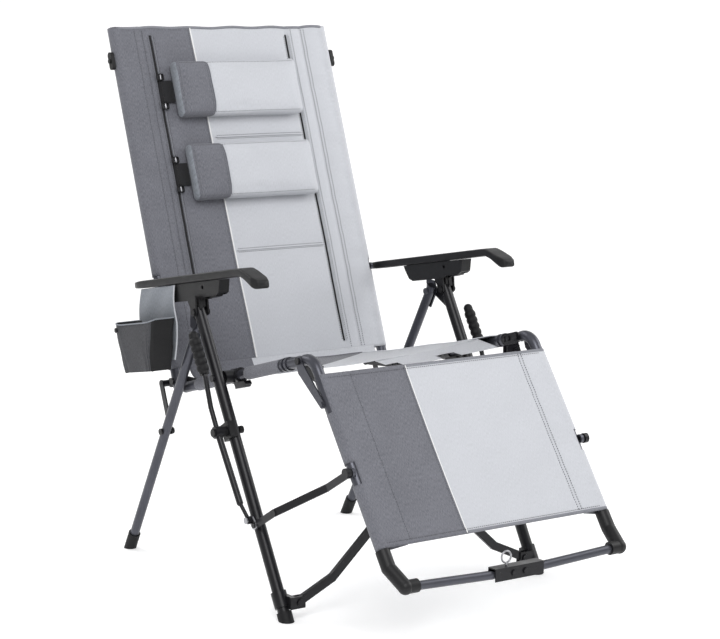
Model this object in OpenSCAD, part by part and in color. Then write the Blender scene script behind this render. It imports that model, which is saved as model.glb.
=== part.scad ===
// Zero gravity recliner. The chair faces -Y, +X is on the right seen from the front, +Z is up.
// The origin is on the floor, midway between the four feet.
// Side-plane points are [u, z]: u runs forward (u = -y) and z runs up.

/* [Legs] */
// Distance between the centres of a front and a rear foot
foot_spread = 670; // [600:5:740]
// Height of the pivot where the legs meet
apex_h = 560; // [520:5:600]
// Distance the rear leg's pivot sits behind the middle of the feet
apex_back = 10; // [0:1:15]
// Distance between the pivot and the top of the front leg, along u
front_leg_lead = 30; // [28:1:36]
// Diameter of the front leg tube
front_leg_d = 24; // [20:1:26]
// Diameter of the rear leg tube
rear_leg_d = 20; // [18:1:22]
// Distance from the top of the front leg down to the hand lever's pivot, along the leg
lever_drop = 251; // [246:1:256]

/* [Seat] */
// Distance between the two seat side tubes, centre to centre
tube_gauge = 530; // [480:5:600]
// Diameter of the seat, back and leg rest tubes
frame_d = 22; // [18:1:24]
// Wall of every tube
tube_wall = 1.5; // [1:0.1:3]
// Distance from the top of the front leg down to the seat pivot, along the leg
seat_drop = 139; // [120:1:160]
// Slope of the seat, higher at the knees
seat_angle = 14.7; // [8:0.1:20]
// Length of the seat from its pivot to the knee hinge
seat_fore = 254; // [220:1:300]
// Length of the seat tube behind its pivot
seat_aft = 211; // [190:1:225]

/* [Back] */
// Length of the back tube above the hip hinge
back_len = 770; // [640:5:900]
// Lean of the back from upright
back_lean = 19.5; // [12:0.1:26]
// Distance of the hip hinge behind the seat tube's end
hip_gap = 36; // [32:1:44]
// Height of the hip hinge above the seat tube's line
hip_rise = 17; // [12:1:22]

/* [Leg rest] */
// Length of the leg rest tube below the knee hinge
legrest_len = 430; // [360:5:480]
// Slope of the leg rest below level
legrest_drop = 55.2; // [50:0.1:62]
// Distance of the leg rest tube in front of the knee hinge's line
legrest_lead = 30; // [26:1:34]
// Radius of the bend at the knee
knee_bend_r = 36; // [32:1:40]
// Diameter of the foot bar
foot_bar_d = 18; // [16:1:20]

/* [Armrests] */
// Width of the armrest
arm_w = 38; // [34:1:44]
// Height of the armrest bar
arm_h = 17; // [15:1:20]
// Height of the armrest's underside above its lock's pivot
arm_rise = 60; // [56:1:68]
// Slope of the armrest, higher at the front
arm_slope = 9.5; // [6:0.1:12]
// Length of the armrest from its lock's pivot to the bend
arm_bend = 183; // [176:1:210]
// Length of the sloping pad in front of the bend
pad_len = 52; // [40:1:70]
// Distance the armrest can slide back in its lock
arm_slide = 81; // [60:1:84]

/* [Fabric] */
// Thickness of the fabric panels
sling_t = 3.5; // [2.5:0.5:5]
// Width of both pillows
pillow_w = 315; // [260:5:325]
// Height of both pillows
pillow_h = 126; // [100:2:132]
// Thickness of both pillows
pillow_t = 38; // [28:1:45]
// Depth of the side pouch, outwards
pouch_d = 62; // [50:1:80]

/* [Fits] */
// Radius of every pivot bolt
bolt_r = 4; // [3:0.5:4]
// Radial running clearance of a pivot
run_gap = 0.05; // [0.02:0.01:0.1]
// Gap between sliding or neighbouring pieces
side_gap = 0.4; // [0.3:0.1:0.6]
// Thickness of the steel plates
plate_t = 3; // [2.5:0.5:3]

/* [Hidden] */
$fn = 48;
eps = 0.01;

// ---- lanes: where each kind of tube lies across the chair ----
frame_r = frame_d / 2;
front_r = front_leg_d / 2;
rear_r = rear_leg_d / 2;
lane_gap = 1;
frame_x = tube_gauge / 2;
rear_x = frame_x + frame_r + lane_gap + rear_r;
front_x = rear_x + rear_r + lane_gap + front_r;
arm_x = front_x - 8;
housing_w = 24;
inner_plate_x = frame_x - frame_r - side_gap - plate_t;
outer_plate_x = frame_x + frame_r + side_gap;

// ---- side-plane geometry ----
function dir(a) = [cos(a), sin(a)];
function across(a) = [-sin(a), cos(a)];
function length2(p, q) = norm(q - p);
function angle2(p, q) = atan2(q[1] - p[1], q[0] - p[0]);
function at(x, p) = [x, -p[0], p[1]];
// puts the origin on the floor, under the middle of the overall box
origin_shift = [9.55, 119.635, 0];
front_foot_pt = [foot_spread / 2, 0];
rear_foot_pt = [-foot_spread / 2, 0];
apex = [-apex_back, apex_h];
front_top = apex + [front_leg_lead, 2];
front_a = angle2(front_foot_pt, front_top);
rear_a = angle2(rear_foot_pt, apex);
seat_pivot = front_top - seat_drop * dir(front_a);
knee = seat_pivot + seat_fore * dir(seat_angle);
seat_end = seat_pivot - seat_aft * dir(seat_angle);
hip = seat_end - hip_gap * dir(seat_angle) + hip_rise * across(seat_angle);
back_a = 90 + back_lean;
back_top = hip + back_len * dir(back_a);
leg_a = -legrest_drop;
leg_n = leg_a + 90;
function on_leg(s, n) = knee + s * dir(leg_a) + n * dir(leg_n);
function on_back(s, n) = hip + s * dir(back_a) + n * dir(back_a - 90);
function on_front(s) = front_foot_pt + s * dir(front_a);
function on_rear(s) = rear_foot_pt + s * dir(rear_a);
front_len = length2(front_foot_pt, front_top);
rear_len = length2(rear_foot_pt, apex);
// rear link, from the hip bracket to the rear leg
link_top = hip + [-50, -12];
link_low = on_rear(rear_len - 315);
// armrest: its underside line passes above the pivot of its lock, at the front leg's top
arm_a = arm_slope;
lock_pivot = front_top + [0, 4];
function on_arm(l, n) = lock_pivot + l * dir(arm_a) + (arm_rise + n) * across(arm_a);
// distance along the armrest's own line at which the back tube crosses it
arm_base = on_arm(0, arm_h / 2);
cross_den = dir(arm_a)[0] * dir(back_a)[1] - dir(arm_a)[1] * dir(back_a)[0];
arm_pin_l = ((hip - arm_base)[0] * dir(back_a)[1] - (hip - arm_base)[1] * dir(back_a)[0]) / cross_den;
arm_pin = arm_base + arm_pin_l * dir(arm_a);
arm_start = arm_pin_l - 20;
// hand lever and its link
lever_pivot = front_top - lever_drop * dir(front_a);
lever_x = front_x + front_r + 23;
lever_low = lever_pivot + [101, -158];
lever_bend = lever_pivot + [81, -126];
leg_lug = on_leg(252, legrest_lead + 8);
link_start = lever_low + [10, -9];
link_out_x = front_x + front_r + 4;
link_in_x = outer_plate_x + 4;
foot_bolt = on_leg(488, 48);
tube_end = on_leg(legrest_len, legrest_lead);
knee_bend_a = (legrest_lead - knee_bend_r * (1 - cos(seat_angle - leg_a))) / sin(seat_angle - leg_a);
bend_start = knee + knee_bend_a * dir(seat_angle);
bend_c = bend_start - knee_bend_r * across(seat_angle);
// cross brace
brace_w = 18;
brace_t = 8;
brace_u = on_front(0)[0] - 4;
brace_gap = 6;
brace_foot_z = 36;
brace_bend = [frame_x - 59, 72];
brace_top = [frame_x - 24, knee[1] - frame_r - 17];
brace_foot = [frame_x + 19.5, brace_foot_z];

black_part = "#1b1c1f";
tube_dark = "#3c3e44";
steel = "#9a9da3";
cloth_dark = "#6f7078";
cloth_light = "#d5d7de";

// ---- helpers ----
module side(s) mirror([s > 0 ? 0 : 1, 0, 0]) children();

module rod(p, q, r) {
    v = q - p;
    translate(p) rotate([0, acos(v[2] / norm(v)), atan2(v[1], v[0])]) cylinder(h = norm(v), r = r);
}

// the ball at a bent rod's corner, a hair wider than the rod
module ball(p, r, swell = 0.15) translate(p) sphere(r + swell);

// a cylinder across the chair, from x0 to x1, at side-plane point p
module pin(x0, x1, p, r) translate([x0, -p[0], p[1]]) rotate([0, 90, 0]) cylinder(h = x1 - x0, r = r);

// a side-plane outline as a plate from x0, t thick
module sheet(x0, t) translate([x0 + t, 0, 0]) rotate([90, 0, -90]) linear_extrude(t) children();

// a hollow tube with open ends
module tube(x, p, q, r) {
    over = (q - p) / norm(q - p);
    difference() {
        rod(at(x, p), at(x, q), r);
        rod(at(x, p - over), at(x, q + over), r - tube_wall);
    }
}

// a flat bar between two side-plane points, its round ends a hair wider than the bar
module bar2(p, q, w) {
    waist = w - 0.5;
    translate(p) circle(d = w);
    translate(q) circle(d = w);
    translate(p) rotate(angle2(p, q)) translate([0, -waist / 2]) square([length2(p, q), waist]);
}

// a domed rivet or bolt head on a face at x, pointing outwards (d = 1) or inwards (d = -1)
module head(x, p, r, h, d = 1) pin(d > 0 ? x : x - h, d > 0 ? x + h : x, p, r);

// ---- legs ----
ear_x = rear_x + rear_r + plate_t + 2 * side_gap;
module front_leg(s) color(tube_dark) side(s) difference() {
    union() {
        rod(at(front_x, on_front(14)), at(front_x, front_top + 12 * dir(front_a)), front_r);
        // ear that carries the legs' hinge
        sheet(ear_x, 8) {
            translate(apex) circle(9);
            polygon([apex + [2, 8.8], apex + [-4, -8], on_front(front_len - 44), on_front(front_len - 2)]);
        }
    }
    rod(at(front_x, on_front(13)), at(front_x, front_top + 13 * dir(front_a)), front_r - tube_wall);
    for (p = [seat_pivot, lever_pivot, apex, lock_pivot]) pin(0, 2 * front_x, p, bolt_r + run_gap);
}

module rear_leg(s) color(tube_dark) side(s) difference() {
    tube(rear_x, on_rear(14), apex + 15 * dir(rear_a), rear_r);
    pin(0, 2 * rear_x, apex, bolt_r + run_gap);
    pin(0, 2 * rear_x, link_low, bolt_r + run_gap);
}

// a rubber cup over the tube's end, cut level with the floor
module foot(x, foot_pt, a, r, top) difference() {
    intersection() {
        rod(at(x, foot_pt - 12 * dir(a)), at(x, foot_pt + top * dir(a)), r + 3);
        translate([x - 40, -foot_pt[0] - 60, 0]) cube([80, 120, 80]);
    }
    rod(at(x, foot_pt + 14 * dir(a)), at(x, foot_pt + 60 * dir(a)), r + run_gap);
}

module front_foot(s) color(black_part) side(s) foot(front_x, front_foot_pt, front_a, front_r, 18);

module rear_foot(s) color(black_part) side(s) foot(rear_x, rear_foot_pt, rear_a, rear_r, 44);

// hinge plate on the rear leg's outside, its rivet and the legs' pivot bolt
plate_rivet = apex + [-18, 17];
module apex_plate(s) color(steel) side(s) {
    px = rear_x + rear_r + side_gap;
    difference() {
        sheet(px, plate_t) {
            translate(apex) circle(9);
            translate(plate_rivet) circle(9);
            polygon([apex + [8, 4], apex + [2, 22], plate_rivet + [-9, 6], plate_rivet + [-8, -6],
                apex - 40 * dir(rear_a) + [-8, 3], apex - 40 * dir(rear_a) + [8, -4], apex + [6, -7]]);
        }
        pin(px - 1, px + 2 * plate_t, apex, bolt_r + run_gap);
        pin(px - 1, px + 2 * plate_t, plate_rivet, 3);
    }
    pin(px - 0.2, px + plate_t + 0.2, plate_rivet, 3 - run_gap);
    head(px + plate_t + 0.2, plate_rivet, 5, 2);
    pin(rear_x - rear_r - 1, ear_x + 9, apex, bolt_r);
    head(ear_x + 8.4, apex, 7, 3);
    head(rear_x - rear_r - 0.2, apex, 7, 3, -1);
}

// ---- armrest lock ----
// the housing runs from lock_l[0] to lock_l[1] along the armrest, its release's frame on to lock_l[2]
lock_l = [-124, 28, arm_bend - arm_slide - 9];
lock_floor = -36;
tongue_w = 8;
tongue_head_w = 18;
tongue_n = [4.5, 9];
release_w = 15;
release_pivot = on_arm(lock_l[1] - 4, -12);
module lock_housing(s) color(black_part) side(s) {
    difference() {
        union() {
            sheet(arm_x - housing_w / 2, housing_w) polygon([
                on_arm(lock_l[0], -side_gap), on_arm(lock_l[1], -side_gap), on_arm(lock_l[1], lock_floor + 6),
                on_arm(lock_l[1] - 12, lock_floor), on_arm(lock_l[0] + 30, lock_floor),
                on_arm(lock_l[0] + 16, lock_floor + 6), on_arm(lock_l[0] + 4, -10)]);
            // frame round the release lever
            sheet(arm_x - housing_w / 2, housing_w) polygon([
                on_arm(lock_l[1] - 1, -side_gap), on_arm(lock_l[2], -side_gap), on_arm(lock_l[2] - 8, -26),
                on_arm(lock_l[2] - 18, -30), on_arm(lock_l[1] - 1, lock_floor + 4)]);
            // neck down to the front leg
            sheet(front_x - 8, 16) polygon([
                lock_pivot + [-14, 6], lock_pivot + [12, 6], on_arm(10, lock_floor + 6), on_arm(-22, lock_floor + 6)]);
            sheet(arm_x - tongue_w / 2, tongue_w) polygon([
                on_arm(lock_l[0], -1), on_arm(lock_l[1], -1),
                on_arm(lock_l[1], tongue_n[0] + 1), on_arm(lock_l[0], tongue_n[0] + 1)]);
            sheet(arm_x - tongue_head_w / 2, tongue_head_w) polygon([
                on_arm(lock_l[0], tongue_n[0]), on_arm(lock_l[1], tongue_n[0]),
                on_arm(lock_l[1], tongue_n[1]), on_arm(lock_l[0], tongue_n[1])]);
            for (k = [-1, 1]) side_cheek(k);
        }
        pin(0, 2 * front_x, lock_pivot, bolt_r + run_gap);
        pin(0, 2 * front_x, release_pivot, bolt_r + run_gap);
        // room for the front leg's top, the hinge plate and the release lever
        translate(at(front_x, lock_pivot)) rotate([0, 90, 0])
            cylinder(h = front_leg_d + 2 * side_gap, r = 14, center = true);
        sheet(ear_x - plate_t - 2 * side_gap - 0.4, plate_t + 4) translate(plate_rivet) circle(26);
        sheet(arm_x - release_w / 2 - side_gap, release_w + 2 * side_gap) polygon([
            on_arm(lock_l[1] - 18, -3), on_arm(lock_l[2] - 5, -3), on_arm(lock_l[2] - 9, -21),
            on_arm(lock_l[2] - 24, -60), on_arm(lock_l[1] - 18, -60)]);
    }
    pin(front_x - front_r - 5, front_x + front_r + 5, lock_pivot, bolt_r);
    for (k = [-1, 1]) head(front_x + k * (front_r + 4.4), lock_pivot, 7, 2.5, k);
}

// one of the two cheeks that hold the lock on the front leg's top
module side_cheek(k) sheet(front_x + k * (front_r + 2) - 1.6, 3.2) {
    translate(lock_pivot) circle(9);
    polygon([
        lock_pivot + [-9, 0], lock_pivot + [9, 0], on_arm(12, lock_floor + 8), on_arm(-24, lock_floor + 8)]);
}

module release_lever(s) color(black_part) side(s) difference() {
    sheet(arm_x - release_w / 2, release_w) {
        translate(release_pivot) circle(7);
        polygon([release_pivot + [0, 7], on_arm(lock_l[2] - 14, -9), on_arm(lock_l[2] - 13, -20),
            on_arm(lock_l[2] - 26, -33), on_arm(lock_l[1] + 16, -35), release_pivot + [2, -7]]);
    }
    pin(0, 2 * front_x, release_pivot, bolt_r + run_gap);
}

// armrest bar with a slot along its underside, bent down to a sloping pad at the front
arm_slot_l = lock_l[1] + arm_slide + 3;
module armrest(s) color(black_part) side(s) difference() {
    intersection() {
        sheet(arm_x - arm_w, 2 * arm_w) polygon([
            on_arm(arm_start, 0), on_arm(arm_bend - 2, 0), on_arm(arm_bend + 22, -14),
            on_arm(arm_bend + 30, -25), on_arm(arm_bend + pad_len, -32),
            on_arm(arm_bend + pad_len + 3, -28), on_arm(arm_bend + pad_len, -7),
            on_arm(arm_bend + pad_len - 4, -4), on_arm(arm_bend, arm_h), on_arm(arm_start, arm_h)]);
        translate([arm_x, 0, 0]) linear_extrude(2 * apex_h) arm_plan();
    }
    sheet(arm_x - tongue_w / 2 - side_gap, tongue_w + 2 * side_gap) polygon([
        on_arm(arm_start - 5, -5), on_arm(arm_slot_l, -5),
        on_arm(arm_slot_l, tongue_n[0] + 1), on_arm(arm_start - 5, tongue_n[0] + 1)]);
    sheet(arm_x - tongue_head_w / 2 - side_gap, tongue_head_w + 2 * side_gap) polygon([
        on_arm(arm_start - 5, tongue_n[0] - side_gap), on_arm(arm_slot_l, tongue_n[0] - side_gap),
        on_arm(arm_slot_l, tongue_n[1] + side_gap), on_arm(arm_start - 5, tongue_n[1] + side_gap)]);
}

// the armrest seen from above, across x and along -u
module arm_plan() {
    rear = -on_arm(arm_start, arm_h)[0];
    front = -on_arm(arm_bend + pad_len + 4, -30)[0];
    corner = 12;
    translate([-arm_w / 2, front + corner]) square([arm_w, rear - front - corner + 4]);
    translate([-arm_w / 2 + corner, front]) square([arm_w - 2 * corner, corner + eps]);
    for (i = [-1, 1]) translate([i * (arm_w / 2 - corner), front + corner]) circle(corner);
}

// ---- seat ----
seat_tube_end = knee - (frame_r + 3) * dir(seat_angle);
// bolts of the knee bracket, back from the seat tube's end
knee_bolts = [12, 25];
module seat_tube(s) side(s) {
    color(tube_dark) difference() {
        tube(frame_x, seat_end, seat_tube_end, frame_r);
        pin(0, 2 * frame_x, seat_pivot, bolt_r + run_gap);
        for (l = [14, 34]) pin(0, frame_x, seat_end + l * dir(seat_angle), 3);
        for (l = knee_bolts) pin(0, frame_x, seat_tube_end - l * dir(seat_angle), 3);
    }
    color(black_part)
        rod(at(frame_x, seat_end - 4 * dir(seat_angle)), at(frame_x, seat_end + 3 * dir(seat_angle)),
            frame_r + 0.3);
    color(black_part) for (l = [44, 58])
        difference() {
            rod(at(frame_x, seat_tube_end - l * dir(seat_angle)),
                at(frame_x, seat_tube_end - (l - 7) * dir(seat_angle)), frame_r + 2.5);
            rod(at(frame_x, seat_tube_end - (l + 9) * dir(seat_angle)),
                at(frame_x, seat_tube_end), frame_r + run_gap);
        }
}

// clamp round the seat tube, its boss against the front leg and the pivot bolt
clamp_half = 15;
module seat_clamp(s) color(black_part) side(s) {
    difference() {
        union() {
            rod(at(frame_x, seat_pivot - clamp_half * dir(seat_angle)),
                at(frame_x, seat_pivot + clamp_half * dir(seat_angle)), frame_r + 4.5);
            pin(frame_x, front_x - front_r - side_gap, seat_pivot, 13);
            sheet(frame_x - 8, 16) translate(seat_pivot) rotate(seat_angle)
                polygon([
                    [-6, -frame_r - 2], [34, -frame_r - 2], [38, -frame_r - 9],
                    [30, -frame_r - 15], [-2, -frame_r - 15]]);
        }
        rod(at(frame_x, seat_pivot - 60 * dir(seat_angle)), at(frame_x, seat_pivot + 60 * dir(seat_angle)),
            frame_r + run_gap);
        pin(0, 2 * frame_x, seat_pivot, bolt_r + run_gap);
    }
    pin(frame_x - frame_r - 5, front_x + front_r + 1, seat_pivot, bolt_r);
    head(front_x + front_r + 0.2, seat_pivot, 7, 4);
    head(frame_x - frame_r - 4.7, seat_pivot, 7, 4, -1);
}

// plate joining the seat tube's end, the back's hinge and the rear link
module hip_bracket(s) color(black_part) side(s) {
    ends = [seat_end + 14 * dir(seat_angle), seat_end + 34 * dir(seat_angle)];
    difference() {
        sheet(inner_plate_x, plate_t) {
            bar2(ends[1], hip, 24);
            bar2(hip, link_top, 20);
            bar2(ends[0], link_top, 18);
        }
        pin(0, frame_x, hip, bolt_r + run_gap);
        pin(0, frame_x, link_top, bolt_r + run_gap);
        for (p = ends) pin(0, frame_x, p, 3);
    }
    for (p = ends) {
        pin(inner_plate_x, frame_x - frame_r + 4, p, 3 - run_gap);
        head(inner_plate_x - 0.2, p, 5.5, 2.5, -1);
    }
    pin(inner_plate_x - 1, frame_x + frame_r + 1, hip, bolt_r);
    head(frame_x + frame_r + 0.4, hip, 7, 4);
    head(inner_plate_x - 0.2, hip, 8, 4, -1);
    pin(inner_plate_x - 1, link_x + plate_t + 0.5, link_top, bolt_r);
    head(inner_plate_x - 0.2, link_top, 7, 3, -1);
    difference() {
        pin(inner_plate_x + plate_t + 0.2, link_x - 0.3, link_top, 7);
        pin(0, 2 * frame_x, link_top, bolt_r + run_gap);
    }
}

link_x = rear_x - rear_r - side_gap - plate_t;
module rear_link(s) color(black_part) side(s) {
    difference() {
        sheet(link_x, plate_t) bar2(link_top, link_low, 16);
        pin(0, 2 * frame_x, link_top, bolt_r + run_gap);
        pin(0, 2 * frame_x, link_low, bolt_r + run_gap);
    }
    pin(link_x - 3, rear_x + rear_r + 1, link_low, bolt_r);
    head(rear_x + rear_r + 0.2, link_low, 7, 4);
    head(link_x - 0.2, link_low, 7, 4, -1);
}

// ---- back ----
module back_tube(s) color(tube_dark) side(s) {
    difference() {
        union() {
            tube(frame_x, hip - 14 * dir(back_a), back_top, frame_r);
            rod(at(frame_x, hip - 14 * dir(back_a)), at(frame_x, hip + 14 * dir(back_a)),
                frame_r - tube_wall + eps);
        }
        pin(0, 2 * frame_x, hip, bolt_r + run_gap);
        pin(frame_x, 2 * frame_x, arm_pin, bolt_r + run_gap);
    }
    rod(at(frame_x, back_top), at(frame_x, back_top + 4 * dir(back_a)), frame_r);
    // pin that carries the armrest's rear end
    pin(frame_x + frame_r - 4, arm_x - arm_w / 2 - side_gap, arm_pin, bolt_r);
    difference() {
        pin(frame_x + frame_r + 0.2, arm_x - arm_w / 2 - 3 * side_gap, arm_pin, 8);
        pin(frame_x, 2 * frame_x, arm_pin, bolt_r + run_gap);
    }
}

// small moulded lug on the outside of the back tube, near its top
module back_lug(s) color(black_part) side(s) {
    p = on_back(back_len - 66, 0);
    sheet(frame_x + sleeve_r + side_gap, 8) bar2(p - 12 * dir(back_a), p + 12 * dir(back_a), 15);
    head(frame_x + sleeve_r + side_gap + 8, p, 5, 3);
}

// ---- hand lever and link ----
grip_low = lever_pivot + [-46, 104];
grip_top = lever_pivot + [-88, 176];
module lever_path(r) {
    rod(at(lever_x, lever_pivot), at(lever_x, lever_pivot + [-26, 46]), r);
    ball(at(lever_x, lever_pivot + [-26, 46]), r);
    rod(at(lever_x, lever_pivot + [-26, 46]), at(lever_x, grip_low), r);
    ball(at(lever_x, grip_low), r);
    rod(at(lever_x, grip_low), at(lever_x, grip_top), r);
}

module hand_lever(s) color(tube_dark) side(s) {
    difference() {
        union() {
            lever_path(5);
            pin(lever_x - 8, lever_x + 8, lever_pivot, 12);
            rod(at(lever_x, lever_pivot), at(lever_x, lever_bend), 6.5);
            ball(at(lever_x, lever_bend), 6.5);
            rod(at(lever_x, lever_bend), at(eye_x, lever_low), 3.8);
            pin(eye_x - 4, eye_x + 4, lever_low, 7.5);
        }
        pin(0, 2 * lever_x, lever_pivot, bolt_r + run_gap);
        pin(0, 2 * lever_x, lever_low, bolt_r + run_gap);
    }
}

eye_x = link_out_x + 2 * plate_t + 5;
// wavy finger grip
module lever_grip(s) color(black_part) side(s) {
    v = (grip_top - grip_low) / norm(grip_top - grip_low);
    n = 5;
    step = (norm(grip_top - grip_low) - 14) / n;
    difference() {
        union() {
            rod(at(lever_x, grip_low + 6 * v), at(lever_x, grip_top + 6 * v), 9.5);
            ball(at(lever_x, grip_top + 6 * v), 9.5);
            for (i = [0:n - 1]) translate(at(lever_x, grip_low + (12 + (i + 0.5) * step) * v)) sphere(12.2);
        }
        lever_path(5 + run_gap);
    }
}

// block between the front leg and the lever, with its bolt and nut
module lever_block(s) color(black_part) side(s) {
    difference() {
        union() {
            pin(front_x + front_r - 2, lever_x - 8 - side_gap, lever_pivot, 10);
            sheet(front_x, front_r + 5) translate(lever_pivot) rotate(front_a - 90)
                square([front_leg_d + 6, 34], true);
        }
        rod(at(front_x, on_front(20)), at(front_x, front_top), front_r + run_gap);
        pin(0, 2 * lever_x, lever_pivot, bolt_r + run_gap);
    }
    pin(front_x - front_r - 10, lever_x + 9, lever_pivot, bolt_r);
    head(lever_x + 8.3, lever_pivot, 8, 4);
    head(front_x - front_r - 0.4, lever_pivot, 7.5, 9, -1);
}

// short plate between the lever's eye and the link, with both rivets
module link_plate(s) color(steel) side(s) {
    px = link_out_x + plate_t + 0.5;
    difference() {
        sheet(px, plate_t) bar2(lever_low, link_start, 17);
        pin(0, 2 * lever_x, lever_low, bolt_r + run_gap);
        pin(0, 2 * lever_x, link_start, bolt_r + run_gap);
    }
    pin(px - 1, eye_x + 6, lever_low, bolt_r);
    head(eye_x + 5.4, lever_low, 6.5, 2.5);
    head(px - 0.2, lever_low, 6, 1.5, -1);
}

// flat bar, set inwards on its way to the leg rest, with the knobbed bolt at its far end
module leg_link(s) color(tube_dark) side(s) {
    reach = length2(link_start, leg_lug);
    tilt = angle2(link_start, leg_lug);
    set_x = link_out_x - link_in_x;
    w = 15;
    difference() {
        union() {
            translate(at(link_out_x, link_start)) rotate([90, 0, -90]) rotate([0, 0, tilt])
                link_solid(reach, set_x, w);
        }
        pin(0, 2 * lever_x, link_start, bolt_r + run_gap);
        pin(0, 2 * lever_x, leg_lug, bolt_r + run_gap);
    }
    px = link_out_x + plate_t + 0.5;
    pin(link_out_x - 1, px + plate_t + 1, link_start, bolt_r);
    head(px + plate_t + 0.2, link_start, 5.4, 2);
    head(link_out_x - 0.2, link_start, 6, 2, -1);
    pin(link_in_x - 0.6, link_in_x + plate_t + 4, leg_lug, bolt_r);
    head(link_in_x + plate_t + 0.2, leg_lug, 10, 9);
}

// the link in its own frame: along X, its width along Y, set inwards along Z between its two flat ends
link_flats = [74, 84];
module link_solid(reach, set_x, w) {
    u0 = link_flats[0];
    u1 = reach - link_flats[1];
    translate([0, 0, -plate_t]) linear_extrude(plate_t) bar2([0, 0], [u0, 0], w);
    translate([0, w / 2, 0]) rotate([90, 0, 0]) linear_extrude(w)
        polygon([[u0, -plate_t], [u0, 0], [u1, set_x], [u1, set_x - plate_t]]);
    translate([0, 0, set_x - plate_t]) linear_extrude(plate_t) bar2([u1, 0], [reach, 0], w);
}

// ---- leg rest ----
// the bend at the knee is a swaged elbow, a little thicker than the straight tube
bend_swell = 0.3;
bend_end = bend_c + knee_bend_r * dir(90 + leg_a);
module knee_bend() translate([frame_x, -bend_c[0], bend_c[1]]) rotate([90, 0, -90]) rotate([0, 0, 90 + leg_a])
    rotate_extrude(angle = seat_angle - leg_a) translate([knee_bend_r, 0]) circle(frame_r + bend_swell);

module legrest_tube(s) side(s) {
    gusset_end = on_leg(104, legrest_lead - 6);
    hollow_top = bend_end + frame_r * dir(leg_a);
    color(tube_dark) difference() {
        union() {
            knee_bend();
            pin(frame_x - frame_r, frame_x + frame_r, knee, frame_r - 1.5);
            rod(at(frame_x, knee), at(frame_x, bend_start + 2 * dir(seat_angle)), frame_r);
            rod(at(frame_x, bend_end - 2 * dir(leg_a)), at(frame_x, tube_end), frame_r);
        }
        rod(at(frame_x, hollow_top), at(frame_x, tube_end + dir(leg_a)), frame_r - tube_wall);
        pin(0, 2 * frame_x, knee, bolt_r + run_gap);
    }
    color(steel) difference() {
        sheet(outer_plate_x, plate_t) {
            translate(knee) circle(9);
            translate(gusset_end) circle(8);
            polygon([
                knee + [9, 1], knee + [-7, -6], knee + [-1, -24],
                gusset_end + [-3, -7.5], gusset_end + [6, 5]]);
        }
        pin(0, 2 * frame_x, knee, bolt_r + run_gap);
    }
    color(steel) head(outer_plate_x + plate_t, gusset_end, 5, 2.5);
    // boss that takes the link's bolt
    color(black_part) difference() {
        pin(frame_x + frame_r - 3, link_in_x - 1, leg_lug, 9);
        rod(at(frame_x, on_leg(0, legrest_lead)), at(frame_x, tube_end), frame_r + run_gap);
        pin(0, 2 * frame_x, leg_lug, bolt_r + 1);
    }
}

elbow_r = frame_r + 3;
elbow_c = on_leg(legrest_len + 38, legrest_lead + 7);
elbow_x = frame_x - 24;
bar_r = foot_bar_d / 2;
module foot_elbow(s) color(black_part) side(s) difference() {
    union() {
        rod(at(frame_x, on_leg(legrest_len - 22, legrest_lead)), at(frame_x, tube_end + 12 * dir(leg_a)),
            elbow_r);
        ball(at(frame_x, tube_end + 12 * dir(leg_a)), elbow_r);
        rod(at(frame_x, tube_end + 12 * dir(leg_a)), at(frame_x - 8, foot_bolt), elbow_r);
        ball(at(frame_x - 8, foot_bolt), elbow_r);
        rod(at(frame_x - 8, foot_bolt), at(frame_x - 34, foot_bolt), elbow_r - 1);
    }
    rod(at(frame_x, on_leg(0, legrest_lead)), at(frame_x, tube_end), frame_r + run_gap);
    rod(at(bracket_half, bar_at(bracket_half)), at(frame_x - 10.8, bar_at(frame_x - 10.8)),
        bar_r - 0.4 + run_gap);
}

// each half of the foot bar falls a little towards the middle
bar_sag = 8;
bar_end = 4;
bar_bolt = 14;
bracket_half = 58;
ring_x = -24;
bar_mid = foot_bolt + [0, -bar_sag];
function bar_at(x) = foot_bolt + [0, -bar_sag * (frame_x - 11 - x) / (frame_x - 11 - bracket_half)];
module foot_bar(s) color(tube_dark) side(s) difference() {
    union() {
        rod(at(bracket_half, bar_mid), at(frame_x - 11, foot_bolt), bar_r - 0.4);
        rod(at(bar_end, bar_mid), at(bracket_half + 1, bar_mid), bar_r - 0.6);
    }
    rod(at(bar_end - 1, bar_mid), at(frame_x, foot_bolt), bar_r - 0.4 - tube_wall);
    translate(at(bar_bolt, bar_mid)) rotate([90, 0, 0]) cylinder(h = 60, r = 3, center = true);
    if (s < 0) translate(at(-ring_x, bar_mid)) cylinder(h = 60, r = 3);
}

// folded channel over the middle of the foot bar, with two bolts
module foot_bracket() color(black_part) {
    gap = bar_r + side_gap;
    difference() {
        translate(at(-bracket_half, bar_mid)) {
            translate([0, -gap - 2, -bar_r - 3]) cube([2 * bracket_half, 2, 2 * bar_r + 5]);
            translate([0, gap, -bar_r - 3]) cube([2 * bracket_half, 2, 2 * bar_r + 5]);
            translate([0, -gap - 2, bar_r + 2]) cube([2 * bracket_half, 2 * gap + 4, 2]);
        }
        translate(at(ring_x, bar_mid)) cylinder(h = 60, r = 3);
    }
    for (i = [-1, 1]) translate(at(i * bar_bolt, bar_mid)) rotate([90, 0, 0]) {
        translate([0, 0, -gap - 3]) cylinder(h = 2 * gap + 6, r = 2.9);
        for (k = [-1, 1]) translate([0, 0, k * (gap + 3.6)]) cylinder(h = 3, r = 6, center = true);
    }
}

// ring on the pin that locks the middle of the foot bar
ring_r = 11;
ring_wire = 1.8;
module pull_ring() color(steel) translate(at(ring_x, bar_mid)) {
    translate([0, 0, bar_r - 3.2]) cylinder(h = 14, r = 2.6);
    translate([0, 0, bar_r + 10 + ring_r]) rotate([90, 0, 0])
        rotate_extrude() translate([ring_r, 0]) circle(ring_wire);
}

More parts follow.
